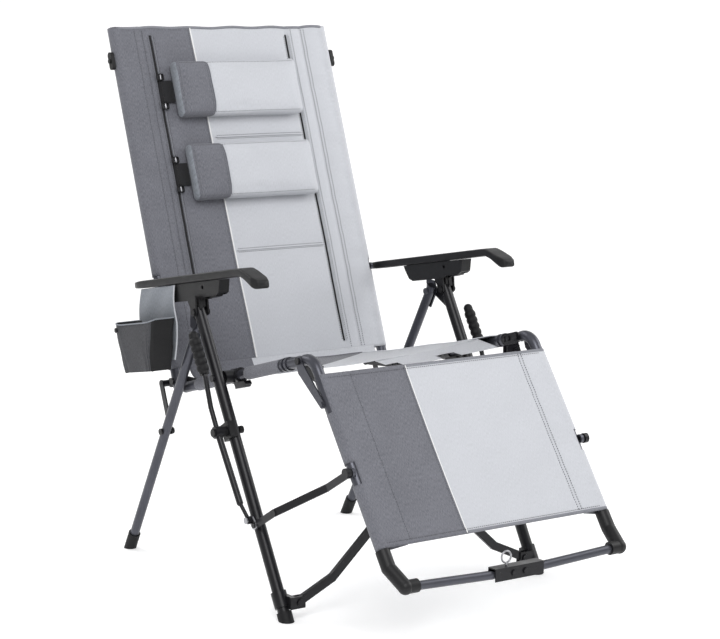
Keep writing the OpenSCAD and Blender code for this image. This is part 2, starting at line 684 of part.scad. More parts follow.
// ---- cross brace ----
module brace_shape() {
    bar2([-brace_foot[0], brace_foot[1]], [-brace_bend[0], brace_bend[1]], brace_w);
    bar2([-brace_bend[0], brace_bend[1]], [brace_top[0], brace_top[1]], brace_w);
}

// one bar in the plane u, rising from one foot to the other side's knee
module brace_bar(u) translate([0, -u + brace_t / 2, 0]) rotate([90, 0, 0]) difference() {
    linear_extrude(brace_t) brace_shape();
    translate([0, 0, -1]) for (p = [[-brace_foot[0], brace_foot[1]], brace_top])
        translate([p[0], p[1], 0]) cylinder(h = brace_t + 2, r = bolt_r + run_gap);
    translate([0, 0, -1]) translate([0, brace_cross_z, 0]) cylinder(h = brace_t + 2, r = bolt_r + run_gap);
}

brace_cross_z = brace_bend[1]
    + (brace_top[1] - brace_bend[1]) * brace_bend[0] / (brace_top[0] + brace_bend[0]);
brace_ua = brace_u + brace_t / 2 + brace_gap / 2;
brace_ub = brace_u - brace_t / 2 - brace_gap / 2;
module brace_bar_a() color(black_part) {
    brace_bar(brace_ua);
    // rivet where the bars cross, with its spacer
    translate([0, -brace_u, brace_cross_z]) rotate([90, 0, 0]) {
        cylinder(h = 2 * brace_t + brace_gap + 2, r = bolt_r, center = true);
        for (k = [-1, 1])
            translate([0, 0, k * (brace_t + brace_gap / 2 + 1.4)]) cylinder(h = 2, r = 8, center = true);
        difference() {
            cylinder(h = brace_gap - 0.6, r = 8, center = true);
            cylinder(h = brace_gap + 2, r = bolt_r + run_gap, center = true);
        }
    }
}

module brace_bar_b() color(black_part) mirror([1, 0, 0]) brace_bar(brace_ub);

// clamp round the front leg near the floor, with the ears that hold the brace
module brace_foot_block(s) color(black_part) side(s) {
    u_bar = s > 0 ? brace_ub : brace_ua;
    z = brace_foot[1];
    ear_x = brace_foot[0] - brace_w / 2 - 3;
    leg_s = brace_foot_s(z);
    difference() {
        union() {
            rod(at(front_x, on_front(leg_s - 14)), at(front_x, on_front(leg_s + 18)), front_r + 3.5);
            for (k = [-1, 1])
                translate([ear_x, -u_bar + k * (brace_t / 2 + 0.4 + 1.5) - 1.5, z - 12])
                    cube([front_x - ear_x - 4, 3, 24]);
            translate([front_x - front_r - 3, -u_bar - brace_t / 2 - 3.4, z - 12]) cube([10, 34, 24]);
        }
        rod(at(front_x, on_front(0)), at(front_x, on_front(200)), front_r + run_gap);
        translate([brace_foot[0], -u_bar, z]) rotate([90, 0, 0])
            cylinder(h = 60, r = bolt_r + run_gap, center = true);
    }
    translate([brace_foot[0], -u_bar, z]) rotate([90, 0, 0]) {
        cylinder(h = brace_t + 10, r = bolt_r, center = true);
        for (k = [-1, 1]) translate([0, 0, k * (brace_t / 2 + 5)]) cylinder(h = 3, r = 7, center = true);
    }
}

function brace_foot_s(z) = z / sin(front_a);

// bracket on the seat tube's front end: cheek for the knee bolt, channel for the brace
module knee_bracket(s) color(black_part) side(s) {
    u_bar = s > 0 ? brace_ua : brace_ub;
    ends = [for (l = knee_bolts) seat_tube_end - l * dir(seat_angle)];
    chan_x = brace_top[0] - brace_w / 2 - 12;
    difference() {
        union() {
            sheet(inner_plate_x, plate_t) {
                bar2(ends[1], knee, 22);
                polygon([
                    ends[1] + [0, -8], knee + [4, -8], [knee[0] + 20, brace_top[1] - 11],
                    [ends[1][0] + 12, brace_top[1] - 11]]);
            }
            for (k = [-1, 1])
                translate([chan_x, -u_bar + k * (brace_t / 2 + 0.4 + 1.5) - 1.5, brace_top[1] - 11])
                    cube([inner_plate_x - chan_x + 1, 3, 24]);
        }
        pin(0, frame_x, knee, bolt_r + run_gap);
        for (p = ends) pin(0, frame_x, p, 3);
        translate([brace_top[0], -u_bar, brace_top[1]]) rotate([90, 0, 0])
            cylinder(h = 60, r = bolt_r + run_gap, center = true);
    }
    translate([brace_top[0], -u_bar, brace_top[1]]) rotate([90, 0, 0]) {
        cylinder(h = brace_t + 10, r = bolt_r, center = true);
        for (k = [-1, 1]) translate([0, 0, k * (brace_t / 2 + 5)]) cylinder(h = 3, r = 7, center = true);
    }
    for (p = ends) {
        pin(inner_plate_x, frame_x - frame_r + 4, p, 3 - run_gap);
        head(inner_plate_x - 0.2, p, 5.5, 2.5, -1);
    }
    pin(inner_plate_x - 1, outer_plate_x + plate_t + 1, knee, bolt_r);
    head(outer_plate_x + plate_t + 0.4, knee, 7, 4);
    head(inner_plate_x - 0.2, knee, 7, 4, -1);
}

// ---- fabric ----
sleeve_gap = 0.3;
sleeve_r = frame_r + sleeve_gap + 1.6;
// cross-section of a sling: a flat panel in front of two sleeves, open at the tubes
module sling_section() difference() {
    union() {
        for (i = [-1, 1]) translate([i * frame_x, 0]) circle(sleeve_r);
        translate([-frame_x, sleeve_r - sling_t]) square([2 * frame_x, sling_t]);
    }
    for (i = [-1, 1]) translate([i * frame_x, 0]) circle(frame_r + sleeve_gap);
}

back_slot_low = 236;
back_slot_high = back_len - 14;
slot_l = frame_x - 75;
slot_r = frame_x - 102;
slot_w = 5;
back_start = 26;
module back_sling() color(cloth_light) difference() {
    back_local() translate([0, 0, back_start]) linear_extrude(back_len - back_start + 7)
        mirror([0, 1]) sling_section();
    // slits that the pillow straps run in
    for (x = [-slot_l, slot_r]) back_local() translate([x - slot_w / 2, -30, back_slot_low])
        cube([slot_w, 60, back_slot_high - back_slot_low]);
    // windows for the armrest pins and the back tubes' lugs
    for (i = [-1, 1])
        pin(i > 0 ? frame_x + 2 : -2 * frame_x, i > 0 ? 2 * frame_x : -frame_x - 2, arm_pin, 12);
}

// frame of the back: X across, -Y out of its front, Z up the back, from the hip hinge
module back_local() translate(at(0, hip)) rotate([-back_lean, 0, 0]) children();

seat_sling_start = 8;
module seat_sling() color(cloth_light) {
    len = length2(seat_end, seat_tube_end) - 68 - seat_sling_start;
    difference() {
        translate(at(0, seat_end + seat_sling_start * dir(seat_angle))) rotate([90 - seat_angle, 0, 0])
            linear_extrude(len) sling_section();
        for (i = [-1, 1]) side(i) {
            rod(at(frame_x, seat_pivot - (clamp_half + 4) * dir(seat_angle)),
                at(frame_x, seat_pivot + (clamp_half + 26) * dir(seat_angle)), frame_r + 6);
            sheet(inner_plate_x - 9, 60) bar2(seat_end, seat_end + 34 * dir(seat_angle), 31);
        }
    }
}

legrest_sling_start = 50;
legrest_sling_len = 357;
module legrest_sling() color(cloth_light) difference() {
    translate(at(0, on_leg(legrest_sling_start, legrest_lead))) rotate([90 + legrest_drop, 0, 0])
        linear_extrude(legrest_sling_len) sling_section();
    // round cut-outs in the sleeves at the link's bolts, and room for the gussets
    for (i = [-1, 1]) side(i) {
        pin(frame_x + 1, 2 * frame_x, leg_lug, 22);
        sheet(outer_plate_x - 1, 20) bar2(knee, on_leg(108, legrest_lead - 6), 24);
    }
}

// a pillow with rounded edges, from s0 along the back
pillow_edge = 13;
module pillow(s0) back_local() translate([-pillow_w / 2, -sleeve_r - side_gap - pillow_t, s0])
    rounded_block(pillow_w, pillow_t, pillow_h, pillow_edge);

module rounded_block(w, d, h, r) hull()
    for (x = [r, w - r], y = [r, d - r], z = [r, h - r]) translate([x, y, z]) sphere(r, $fn = 24);

head_s = 565;
lumbar_s = 379;
strap_h = 50;
module head_pillow() color(cloth_light) pillow(head_s);
module lumbar_pillow() color(cloth_light) pillow(lumbar_s);

// webbing that leaves the pillow's ends, passes the slits and runs behind the back, with its buckle
strap_t = 1.6;
module strap(s0) back_local() translate([0, 0, s0 + (pillow_h - strap_h) / 2]) {
    front = -sleeve_r - side_gap - strap_t;
    rear = -sleeve_r + sling_t + side_gap;
    end = pillow_w / 2 + 0.4;
    color(black_part) {
        translate([-slot_l - strap_t / 2, rear, 0]) cube([slot_l + slot_r + strap_t, strap_t, strap_h]);
        for (x = [-slot_l, slot_r])
            translate([x - strap_t / 2, front, 0]) cube([strap_t, rear - front + strap_t, strap_h]);
        translate([-slot_l - strap_t / 2, front, 0]) cube([slot_l - end + strap_t / 2, strap_t, strap_h]);
        translate([end, front, 0]) cube([slot_r - end + strap_t / 2, strap_t, strap_h]);
        // buckle
        translate([-slot_l + 2, front - 3.2, -2]) cube([slot_l - end - 6, 3, strap_h + 4]);
    }
}

module head_strap() strap(head_s);
module lumbar_strap() strap(lumbar_s);

// open pocket that hangs from the armrest on the -X side, with the panel it is sewn to
pouch_wall = 3;
pouch_l = [-258, -84];
pouch_low = -190;
pouch_rim = -62;
module side_pouch() color(cloth_light) side(-1) {
    x0 = arm_x + housing_w / 2 + side_gap;
    difference() {
        union() {
            sheet(x0, pouch_d) pocket_outline(0);
            sheet(x0, pouch_wall) polygon([
                on_arm(pouch_l[0], pouch_rim - 12), on_arm(pouch_l[0] + 14, -18), on_arm(pouch_l[0] + 44, 0),
                on_arm(pouch_l[1] + 2, 0), on_arm(pouch_l[1] + 6, -30), on_arm(pouch_l[1], pouch_rim - 12)]);
        }
        sheet(x0 + pouch_wall, pouch_d - 2 * pouch_wall) pocket_outline(pouch_wall, 30);
    }
}

// the pocket seen from the side, g inside its walls and its rim raised by over
module pocket_outline(g, over = 0) polygon([
    on_arm(pouch_l[0] + g, pouch_rim - 10 + over), on_arm(pouch_l[0] + g, pouch_rim - 10 - g),
    on_arm(pouch_l[0] + 30 + g, pouch_low + g), on_arm(pouch_l[1] - 34 - g, pouch_low + g),
    on_arm(pouch_l[1] - g, pouch_rim - 10 - g), on_arm(pouch_l[1] - g, pouch_rim - 10 + over)]);

translate(origin_shift) {
front_leg(-1);  // front_leg_l
front_leg(1);  // front_leg_r
front_foot(-1);  // front_foot_l
front_foot(1);  // front_foot_r
rear_leg(-1);  // rear_leg_l
rear_leg(1);  // rear_leg_r
rear_foot(-1);  // rear_foot_l
rear_foot(1);  // rear_foot_r
apex_plate(-1);  // apex_plate_l
apex_plate(1);  // apex_plate_r
lock_housing(-1);  // lock_housing_l
lock_housing(1);  // lock_housing_r
release_lever(-1);  // release_lever_l
release_lever(1);  // release_lever_r
armrest(-1);  // armrest_l
armrest(1);  // armrest_r
seat_tube(-1);  // seat_tube_l
seat_tube(1);  // seat_tube_r
seat_clamp(-1);  // seat_clamp_l
seat_clamp(1);  // seat_clamp_r
hip_bracket(-1);  // hip_bracket_l
hip_bracket(1);  // hip_bracket_r
rear_link(-1);  // rear_link_l
rear_link(1);  // rear_link_r
back_tube(-1);  // back_tube_l
back_tube(1);  // back_tube_r
back_lug(-1);  // back_lug_l
back_lug(1);  // back_lug_r
hand_lever(-1);  // hand_lever_l
hand_lever(1);  // hand_lever_r
lever_grip(-1);  // lever_grip_l
lever_grip(1);  // lever_grip_r
lever_block(-1);  // lever_block_l
lever_block(1);  // lever_block_r
link_plate(-1);  // link_plate_l
link_plate(1);  // link_plate_r
leg_link(-1);  // leg_link_l
leg_link(1);  // leg_link_r
legrest_tube(-1);  // legrest_tube_l
legrest_tube(1);  // legrest_tube_r
foot_elbow(-1);  // foot_elbow_l
foot_elbow(1);  // foot_elbow_r
foot_bar(-1);  // foot_bar_l
foot_bar(1);  // foot_bar_r
foot_bracket();
pull_ring();
brace_bar_a();
brace_bar_b();
brace_foot_block(-1);  // brace_foot_l
brace_foot_block(1);  // brace_foot_r
knee_bracket(-1);  // knee_bracket_l
knee_bracket(1);  // knee_bracket_r
back_sling();
seat_sling();
legrest_sling();
head_pillow();
lumbar_pillow();
head_strap();
lumbar_strap();
side_pouch();
}
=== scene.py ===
# %% [markdown]
# # A zero gravity recliner, dressed
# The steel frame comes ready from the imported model. This lesson adds the cloth: a back, a seat and a
# leg rest stretched over tubes, two stuffed pillows on straps, a hanging pouch and moulded armrests.
# Everything is a surface worked out with numpy, in metres, in the chair's own frame:
# X across, -Y forward, Z up.

import math

import bmesh
import bpy
import numpy as np
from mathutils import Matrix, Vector


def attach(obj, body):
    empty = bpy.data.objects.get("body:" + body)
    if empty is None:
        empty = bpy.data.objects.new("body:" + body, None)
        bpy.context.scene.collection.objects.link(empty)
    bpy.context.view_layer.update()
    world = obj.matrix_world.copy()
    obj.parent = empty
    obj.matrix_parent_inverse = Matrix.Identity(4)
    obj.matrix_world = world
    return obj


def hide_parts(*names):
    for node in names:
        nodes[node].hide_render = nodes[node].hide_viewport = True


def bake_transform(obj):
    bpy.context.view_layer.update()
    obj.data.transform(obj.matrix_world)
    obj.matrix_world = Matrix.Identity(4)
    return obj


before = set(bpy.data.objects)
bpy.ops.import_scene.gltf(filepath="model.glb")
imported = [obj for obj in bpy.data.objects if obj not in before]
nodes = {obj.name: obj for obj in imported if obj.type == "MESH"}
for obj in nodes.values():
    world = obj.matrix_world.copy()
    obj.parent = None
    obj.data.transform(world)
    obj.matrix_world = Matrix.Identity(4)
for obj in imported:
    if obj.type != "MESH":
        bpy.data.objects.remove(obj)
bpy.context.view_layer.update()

# %% [markdown]
# The chair is drawn in its side plane first, as a maker would: u runs forward and z runs up.
# Each panel of cloth then needs only an origin, a direction along it and a normal out of its front.

# %% Side-plane geometry
FRAME_X = 0.265
SLEEVE_R = 0.0129
ARM_X = 0.302
# from the middle of the four feet to the chair's origin, under the middle of its overall box
ORIGIN = np.array([0.00955, 0.119635, 0.0])


def turn(degrees):
    """Unit vector at an angle in the side plane: (cos, sin)."""
    a = math.radians(degrees)
    return np.array([math.cos(a), math.sin(a)])


HIP = np.array([-0.1553, 0.3945])
SEAT_END = np.array([-0.1161, 0.3872])
KNEE = np.array([0.3336, 0.5052])
LOCK_PIVOT = np.array([0.020, 0.566])
BACK_A, SEAT_A, LEG_A, ARM_A = 109.5, 14.7, -55.2, 9.5
LEG_O = KNEE + 0.030 * turn(LEG_A + 90)
# each panel's frame: origin, direction along it, normal out of its front
PANELS = {
    "back": (HIP, turn(BACK_A), turn(BACK_A - 90)),
    "seat": (SEAT_END, turn(SEAT_A), turn(SEAT_A + 90)),
    "leg": (LEG_O, turn(LEG_A), turn(LEG_A + 90)),
    "arm": (LOCK_PIVOT + 0.060 * turn(ARM_A + 90), turn(ARM_A), turn(ARM_A + 90)),
}
# +1 where columns, rows and normal are right-handed, so that faces look out of the panel's front
FACING = {"back": 1, "seat": -1, "leg": -1, "arm": -1}


def place(panel, x, s, n):
    """World points of panel coordinates: origin + s * along + n * normal, with x across and Y = -u."""
    origin, along, normal = PANELS[panel]
    x, s, n = np.broadcast_arrays(x, s, n)
    u = origin[0] + s * along[0] + n * normal[0]
    z = origin[1] + s * along[1] + n * normal[1]
    return np.stack([x, -u, z], axis=-1) + ORIGIN


print("back runs to", place("back", 0.0, 0.77, 0.0).round(3))

# %% [markdown]
# Materials come next. Woven polyester is a plain weave of heathered yarns: two crossed bands give the
# relief, fine noise gives the mix of lighter and darker yarns, and a sheen gives the soft edge glow.
# The bands follow the cloth's own UV map, laid out in metres, so the weave keeps its size everywhere.


# %% Woven cloth
def fresh_material(name):
    """A node material with only its shader and output left in it."""
    mat = bpy.data.materials.new(name)
    mat.use_nodes = True
    shader = next(n for n in mat.node_tree.nodes if n.type == "BSDF_PRINCIPLED")
    return mat, mat.node_tree, shader


def link_ramp(tree, source, low, high, span=(0.3, 0.7)):
    """A colour ramp from low to high, fed by a socket."""
    ramp = tree.nodes.new("ShaderNodeValToRGB")
    ramp.color_ramp.elements[0].position = span[0]
    ramp.color_ramp.elements[1].position = span[1]
    ramp.color_ramp.elements[0].color = (*low, 1)
    ramp.color_ramp.elements[1].color = (*high, 1)
    tree.links.new(source, ramp.inputs[0])
    return ramp.outputs[0]


def noise(tree, coords, scale, detail=3.0):
    """A noise texture's value on the given coordinates."""
    node = tree.nodes.new("ShaderNodeTexNoise")
    node.inputs["Scale"].default_value = scale
    node.inputs["Detail"].default_value = detail
    tree.links.new(coords, node.inputs["Vector"])
    return node.outputs[0]


def bump_into(tree, shader, height, strength, distance):
    """A bump from a height socket into the shader's normal, on top of any bump before it."""
    bump = tree.nodes.new("ShaderNodeBump")
    bump.inputs["Strength"].default_value = strength
    bump.inputs["Distance"].default_value = distance
    tree.links.new(height, bump.inputs["Height"])
    before = shader.inputs["Normal"].links
    if before:
        tree.links.new(before[0].from_socket, bump.inputs["Normal"])
    tree.links.new(bump.outputs[0], shader.inputs["Normal"])


def mix_values(tree, a, b, how="ADD"):
    """Math of two sockets."""
    node = tree.nodes.new("ShaderNodeMath")
    node.operation = how
    tree.links.new(a, node.inputs[0])
    tree.links.new(b, node.inputs[1])
    return node.outputs[0]


def woven(name, colour, contrast=0.16, yarn=0.0014, sheen=0.25):
    """Cloth of crossed yarns: bands along U and V, heathered by stretched noise."""
    mat, tree, shader = fresh_material(name)
    uv = tree.nodes.new("ShaderNodeTexCoord").outputs["UV"]
    bands = []
    for direction in ("X", "Y"):
        wave = tree.nodes.new("ShaderNodeTexWave")
        wave.bands_direction = direction
        wave.inputs["Scale"].default_value = 0.314 / yarn
        wave.inputs["Distortion"].default_value = 0.6
        wave.inputs["Detail"].default_value = 1.0
        tree.links.new(uv, wave.inputs["Vector"])
        bands.append(wave.outputs[1])
    weave = mix_values(tree, bands[0], bands[1], "MULTIPLY")
    stretch = tree.nodes.new("ShaderNodeMapping")
    stretch.inputs["Scale"].default_value = (1.0, 0.18, 1.0)
    tree.links.new(uv, stretch.inputs["Vector"])
    heather = noise(tree, stretch.outputs[0], 900.0, 2.0)
    broad = noise(tree, uv, 14.0, 4.0)
    faint = tree.nodes.new("ShaderNodeMath")
    faint.operation = "MULTIPLY"
    faint.inputs[1].default_value = 0.2
    tree.links.new(broad, faint.inputs[0])
    tone = mix_values(tree, heather, faint.outputs[0])
    low = tuple(c * (1 - contrast) for c in colour)
    high = tuple(min(1.0, c * (1 + contrast)) for c in colour)
    tree.links.new(link_ramp(tree, tone, low, high, (0.40, 0.80)), shader.inputs["Base Color"])
    shader.inputs["Roughness"].default_value = 0.86
    shader.inputs["Sheen Weight"].default_value = sheen
    shader.inputs["Sheen Roughness"].default_value = 0.5
    bump_into(tree, shader, weave, 0.35, 0.0004)
    bump_into(tree, shader, broad, 0.15, 0.002)
    return mat


CLOTH = {
    "dark": woven("cloth_dark_grey", (0.132, 0.135, 0.156), 0.30, sheen=0.12),
    "mid": woven("cloth_mid_grey", (0.200, 0.206, 0.230), 0.16, sheen=0.12),
    "light": woven("cloth_light_grey", (0.490, 0.502, 0.535), 0.08, sheen=0.15),
    # blue-grey cloth: the pouch's flap, and painted light on the pillows' left end faces
    "flap_and_lit_pillow_end": woven("cloth_blue_grey", (0.205, 0.222, 0.250), 0.20, sheen=0.12),
    "pocket": woven("cloth_charcoal", (0.036, 0.037, 0.043), 0.5, sheen=0.08),
    # near-black cloth: the pouch's lining and front end, and painted shade in the back's slits
    "lining_and_slit_shade": woven("cloth_lining_and_slit_shade", (0.008, 0.008, 0.009), 0.2, sheen=0.0),
    "webbing": woven("webbing_black", (0.012, 0.012, 0.014), 0.25, 0.0011, 0.05),
    "piping": woven("piping_white", (0.80, 0.80, 0.80), 0.04, 0.0009),
    "thread": woven("thread_grey", (0.075, 0.078, 0.090), 0.10, 0.0008),
}
print("cloths:", ", ".join(CLOTH))

# %% [markdown]
# The hard parts are powder-coated steel, moulded nylon, rubber and plated steel. Their patterns read
# Object coordinates. Powder coat has a very fine orange peel; mouldings have a spark-eroded grain.


# %% Hard finishes
def coated(name, colour, metallic, roughness, grain, relief, shine=0.3, wear=0.0):
    """A hard finish: base colour with cloudy variation, roughness noise and a fine relief."""
    mat, tree, shader = fresh_material(name)
    coords = tree.nodes.new("ShaderNodeTexCoord").outputs["Object"]
    cloud = noise(tree, coords, 9.0, 5.0)
    low = tuple(c * 0.86 for c in colour)
    high = tuple(min(1.0, c * (1.18 + wear)) for c in colour)
    tree.links.new(link_ramp(tree, cloud, low, high), shader.inputs["Base Color"])
    smear = tree.nodes.new("ShaderNodeMapRange")
    smear.inputs["To Min"].default_value = roughness - 0.07
    smear.inputs["To Max"].default_value = roughness + 0.09
    tree.links.new(noise(tree, coords, 60.0, 4.0), smear.inputs["Value"])
    tree.links.new(smear.outputs[0], shader.inputs["Roughness"])
    shader.inputs["Metallic"].default_value = metallic
    shader.inputs["Specular IOR Level"].default_value = shine
    bump_into(tree, shader, noise(tree, coords, grain, 2.0), 0.3, relief)
    return mat


HARD = {
    "gunmetal": coated("coat_gunmetal", (0.075, 0.077, 0.092), 0.65, 0.33, 900.0, 0.00012, 0.4),
    "black": coated("coat_black", (0.010, 0.010, 0.012), 0.15, 0.30, 900.0, 0.00012, 0.32),
    "moulded": coated("nylon_black", (0.008, 0.008, 0.009), 0.0, 0.42, 1400.0, 0.0002, 0.3),
    "rubber": coated("rubber_black", (0.007, 0.007, 0.008), 0.0, 0.55, 700.0, 0.0003, 0.25),
    "plated": coated("steel_plated", (0.36, 0.36, 0.38), 1.0, 0.28, 500.0, 0.0001, 0.5),
}
FINISH = {
    "gunmetal": ("rear_leg", "seat_tube", "back_tube", "legrest_tube", "foot_bar", "apex_plate"),
    "black": (
        "front_leg", "hand_lever", "leg_link", "rear_link", "seat_clamp", "hip_bracket", "brace_foot",
        "knee_bracket", "brace_bar", "foot_bracket",
    ),
    "moulded": ("lock_housing", "release_lever", "armrest", "foot_elbow", "lever_block", "back_lug"),
    "rubber": ("front_foot", "rear_foot", "lever_grip"),
    "plated": ("link_plate", "pull_ring"),
}
for finish, families in FINISH.items():
    for name, node in nodes.items():
        if name.startswith(families):
            node.data.materials.clear()
            node.data.materials.append(HARD[finish])
print("hard finishes on", sum(len(f) for f in FINISH.values()), "families of parts")

# %% [markdown]
# Two helpers make every new piece. One turns a grid of points into a quad mesh with a UV map measured
# in metres along the grid; the other carries a ring of points along a path and closes both ends.


# %% Grids and lofts
def new_piece(name, verts, faces, materials, uv=None, face_materials=None):
    """A mesh object at the origin from arrays: points, quads, materials and one UV pair per point."""
    mesh = bpy.data.meshes.new(name)
    mesh.from_pydata(verts.reshape(-1, 3), [], faces.tolist() if hasattr(faces, "tolist") else faces)
    for mat in materials:
        mesh.materials.append(mat)
    if face_materials is not None:
        mesh.polygons.foreach_set("material_index", face_materials.astype(np.int32))
    if uv is not None:
        loops = np.zeros(len(mesh.loops), np.int32)
        mesh.loops.foreach_get("vertex_index", loops)
        layer = mesh.uv_layers.new(name="UVMap")
        layer.data.foreach_set("uv", uv.reshape(-1, 2)[loops].astype(np.float32).ravel())
    mesh.polygons.foreach_set("use_smooth", np.ones(len(mesh.polygons), bool))
    mesh.update()
    obj = bpy.data.objects.new(name, mesh)
    bpy.context.scene.collection.objects.link(obj)
    return obj


def measured_uv(points):
    """UV of a grid in metres: running lengths along its middle row and its middle column."""
    rows, cols = points.shape[:2]
    down = np.linalg.norm(np.diff(points[:, cols // 2], axis=0), axis=1)
    over = np.linalg.norm(np.diff(points[rows // 2], axis=0), axis=1)
    v = np.concatenate([[0], np.cumsum(down)])
    u = np.concatenate([[0], np.cumsum(over)])
    return np.stack(np.broadcast_arrays(u[None, :], v[:, None]), axis=-1)


def grid_faces(rows, cols):
    """Quads between neighbouring points of a rows x cols grid."""
    i = np.arange(rows * cols).reshape(rows, cols)
    return np.stack([i[:-1, :-1], i[:-1, 1:], i[1:, 1:], i[1:, :-1]], axis=-1).reshape(-1, 4)


def recalculated(obj, merge=1e-6):
    """Merges doubles and turns every face outwards."""
    bm = bmesh.new()
    bm.from_mesh(obj.data)
    bmesh.ops.remove_doubles(bm, verts=bm.verts, dist=merge)
    bmesh.ops.recalc_face_normals(bm, faces=bm.faces)
    bm.to_mesh(obj.data)
    bm.free()
    return obj


def loft(name, rings, material):
    """A closed body: rings (k, m, 3) joined in order, each end closed by a fan on its own centre."""
    k, m = rings.shape[:2]
    closed = np.concatenate([rings, rings[:, :1]], axis=1)
    uv = measured_uv(closed)
    verts = np.concatenate([closed.reshape(-1, 3), rings[:1].mean(1), rings[-1:].mean(1)])
    uv = np.concatenate([uv.reshape(-1, 2), [[0, 0]], [[0, 0]]])
    faces = grid_faces(k, m + 1).tolist()
    first, last = k * (m + 1), k * (m + 1) + 1
    faces += [[j + 1, j, first] for j in range(m)]
    faces += [[(k - 1) * (m + 1) + j, (k - 1) * (m + 1) + j + 1, last] for j in range(m)]
    return recalculated(new_piece(name, verts, faces, [material], uv))


def cord_rings(path, radius, sides=8):
    """Rings round a path: at each point, a circle square to the path's direction."""
    path = np.asarray(path, float)
    along = np.gradient(path, axis=0)
    along /= np.linalg.norm(along, axis=1, keepdims=True)
    helper = np.where(np.abs(along[:, :1]) > 0.9, [[0.0, 0.0, 1.0]], [[1.0, 0.0, 0.0]])
    a = np.cross(along, helper)
    a /= np.linalg.norm(a, axis=1, keepdims=True)
    b = np.cross(along, a)
    t = np.linspace(0, 2 * np.pi, sides, endpoint=False)
    circle = np.cos(t)[None, :, None] * a[:, None] + np.sin(t)[None, :, None] * b[:, None]
    return path[:, None] + radius * circle


def thicken(obj, thickness, offset=-1.0):
    """A Solidify modifier with closed rims."""
    mod = obj.modifiers.new("thickness", "SOLIDIFY")
    mod.thickness = thickness
    mod.offset = offset
    mod.use_even_offset = False
    return obj


print("helpers ready")

# %% [markdown]
# A stretched panel is one sheet that wraps round the tube at each side and runs flat between them.
# Its cross-section is a path: a hem sewn to the sheet, half a turn round the tube, straight across, and
# the same again. Knots put grid columns exactly on the seams, so that each colour ends on a clean line.


# %% The sling's cross-section
# the hem comes back up to the sheet and is sewn to it this far from the tube's centre
HEM = 0.053


def columns(knots, step=0.0065):
    """Positions across the flat part, in equal steps between neighbouring knots."""
    parts = [np.linspace(a, b, max(2, int(round((b - a) / step)) + 1))[:-1] for a, b in zip(knots, knots[1:])]
    return np.concatenate(parts + [[knots[-1]]])


def section(knots):
    """x, n and zone of each column: zone 0 on the sleeves, 1 on the flat part."""
    flat = columns([-FRAME_X, *knots, FRAME_X])
    turn_in = np.linspace(1.5 * np.pi, 0.5 * np.pi, 15)[:-1]
    hem = np.linspace(-FRAME_X + HEM, -FRAME_X, 9)[:-1]
    left_x = np.concatenate([hem, -FRAME_X + SLEEVE_R * np.cos(turn_in)])
    hem_n = np.linspace(SLEEVE_R - 0.0045, -SLEEVE_R, 9)[:-1]
    left_n = np.concatenate([hem_n, SLEEVE_R * np.sin(turn_in)])
    x = np.concatenate([left_x, flat, -left_x[::-1]])
    n = np.concatenate([left_n, np.full(len(flat), SLEEVE_R), left_n[::-1]])
    zone = np.concatenate([np.zeros(len(left_x)), np.ones(len(flat)), np.zeros(len(left_x))])
    return x, n, zone


def dip(distance, width):
    """A soft groove's share of its depth: a bell over distance."""
    return np.exp(-((distance / width) ** 2))


def panel(name, where, length, knots, border, relief, colours, cut, body, hides, rests):
    """A stretched panel: length (start, end), border(s) moves the colour seam, relief(x, s) lowers the cloth,
    colours(x, s) picks a material index per face, cut(x, n, s) is true where cloth is missing."""
    x0, n0, zone = section(knots)
    rows = int(round((length[1] - length[0]) / 0.0065)) + 1
    s = np.linspace(length[0], length[1], rows)[:, None]
    shift = border(s) - border(np.array(sum(length) / 2))
    seam = float(border(np.array(sum(length) / 2)))
    tent = np.interp(x0, [-0.184, seam, 0.166], [0, 1, 0]) * zone
    x = x0[None, :] + shift * tent[None, :]
    fade = np.interp(np.abs(x), [FRAME_X - 0.012, FRAME_X], [1, 0]) * zone[None, :]
    n = n0[None, :] + relief(x, s) * fade
    points = place(where, x, s, n)
    faces = grid_faces(*points.shape[:2])
    mid_x = x.ravel()[faces].mean(1)
    mid_n = np.broadcast_to(n, x.shape).ravel()[faces].mean(1)
    mid_s = np.broadcast_to(s, x.shape).ravel()[faces].mean(1)
    keep = ~cut(mid_x, mid_n, mid_s)
    uv = measured_uv(points)
    obj = new_piece(
        name, points, faces[keep][:, ::FACING[where]], [CLOTH["dark"], CLOTH["mid"], CLOTH["light"]], uv,
        colours(mid_x, mid_s)[keep],
    )
    thicken(obj, 0.0016)
    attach(obj, body)
    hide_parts(hides)
    return obj


# %% [markdown]
# The back is the largest panel. It is dark on one side of the colour seam and light on the other, where
# cross seams part it into three padded boxes. The padding crowns each box by a few millimetres
# and every seam pulls the cloth in. Small waves near the sleeves are what tension does to a real one.

# %% The back panel
BACK_S = (0.026, 0.777)
BACK_SEAMS = [0.268, 0.524]
SLIT_L, SLIT_R = -0.184, 0.166
SLIT_S = (0.045, 0.761)
STRIP = 0.205


def back_border(s):
    """Where the dark band ends: it drifts 13 mm towards the middle on its way down."""
    return -0.068 - 0.013 * (s - 0.026) / 0.75


def crown(value, edges):
    """0 on each edge and 1 halfway between neighbours: the sine of the share of the way across."""
    edges = np.sort(np.asarray(edges))
    i = np.clip(np.searchsorted(edges, value) - 1, 0, len(edges) - 2)
    share = (value - edges[i]) / (edges[i + 1] - edges[i])
    return np.sin(np.pi * np.clip(share, 0, 1)) ** 0.6


def tension(x, s, phase):
    """Fine ripples that start at the sleeves and die out towards the middle."""
    near = np.exp(-((FRAME_X - np.abs(x)) / 0.05))
    return near * (0.0011 * np.sin(96 * s + 30 * x + phase) + 0.0008 * np.sin(171 * s - 44 * x))


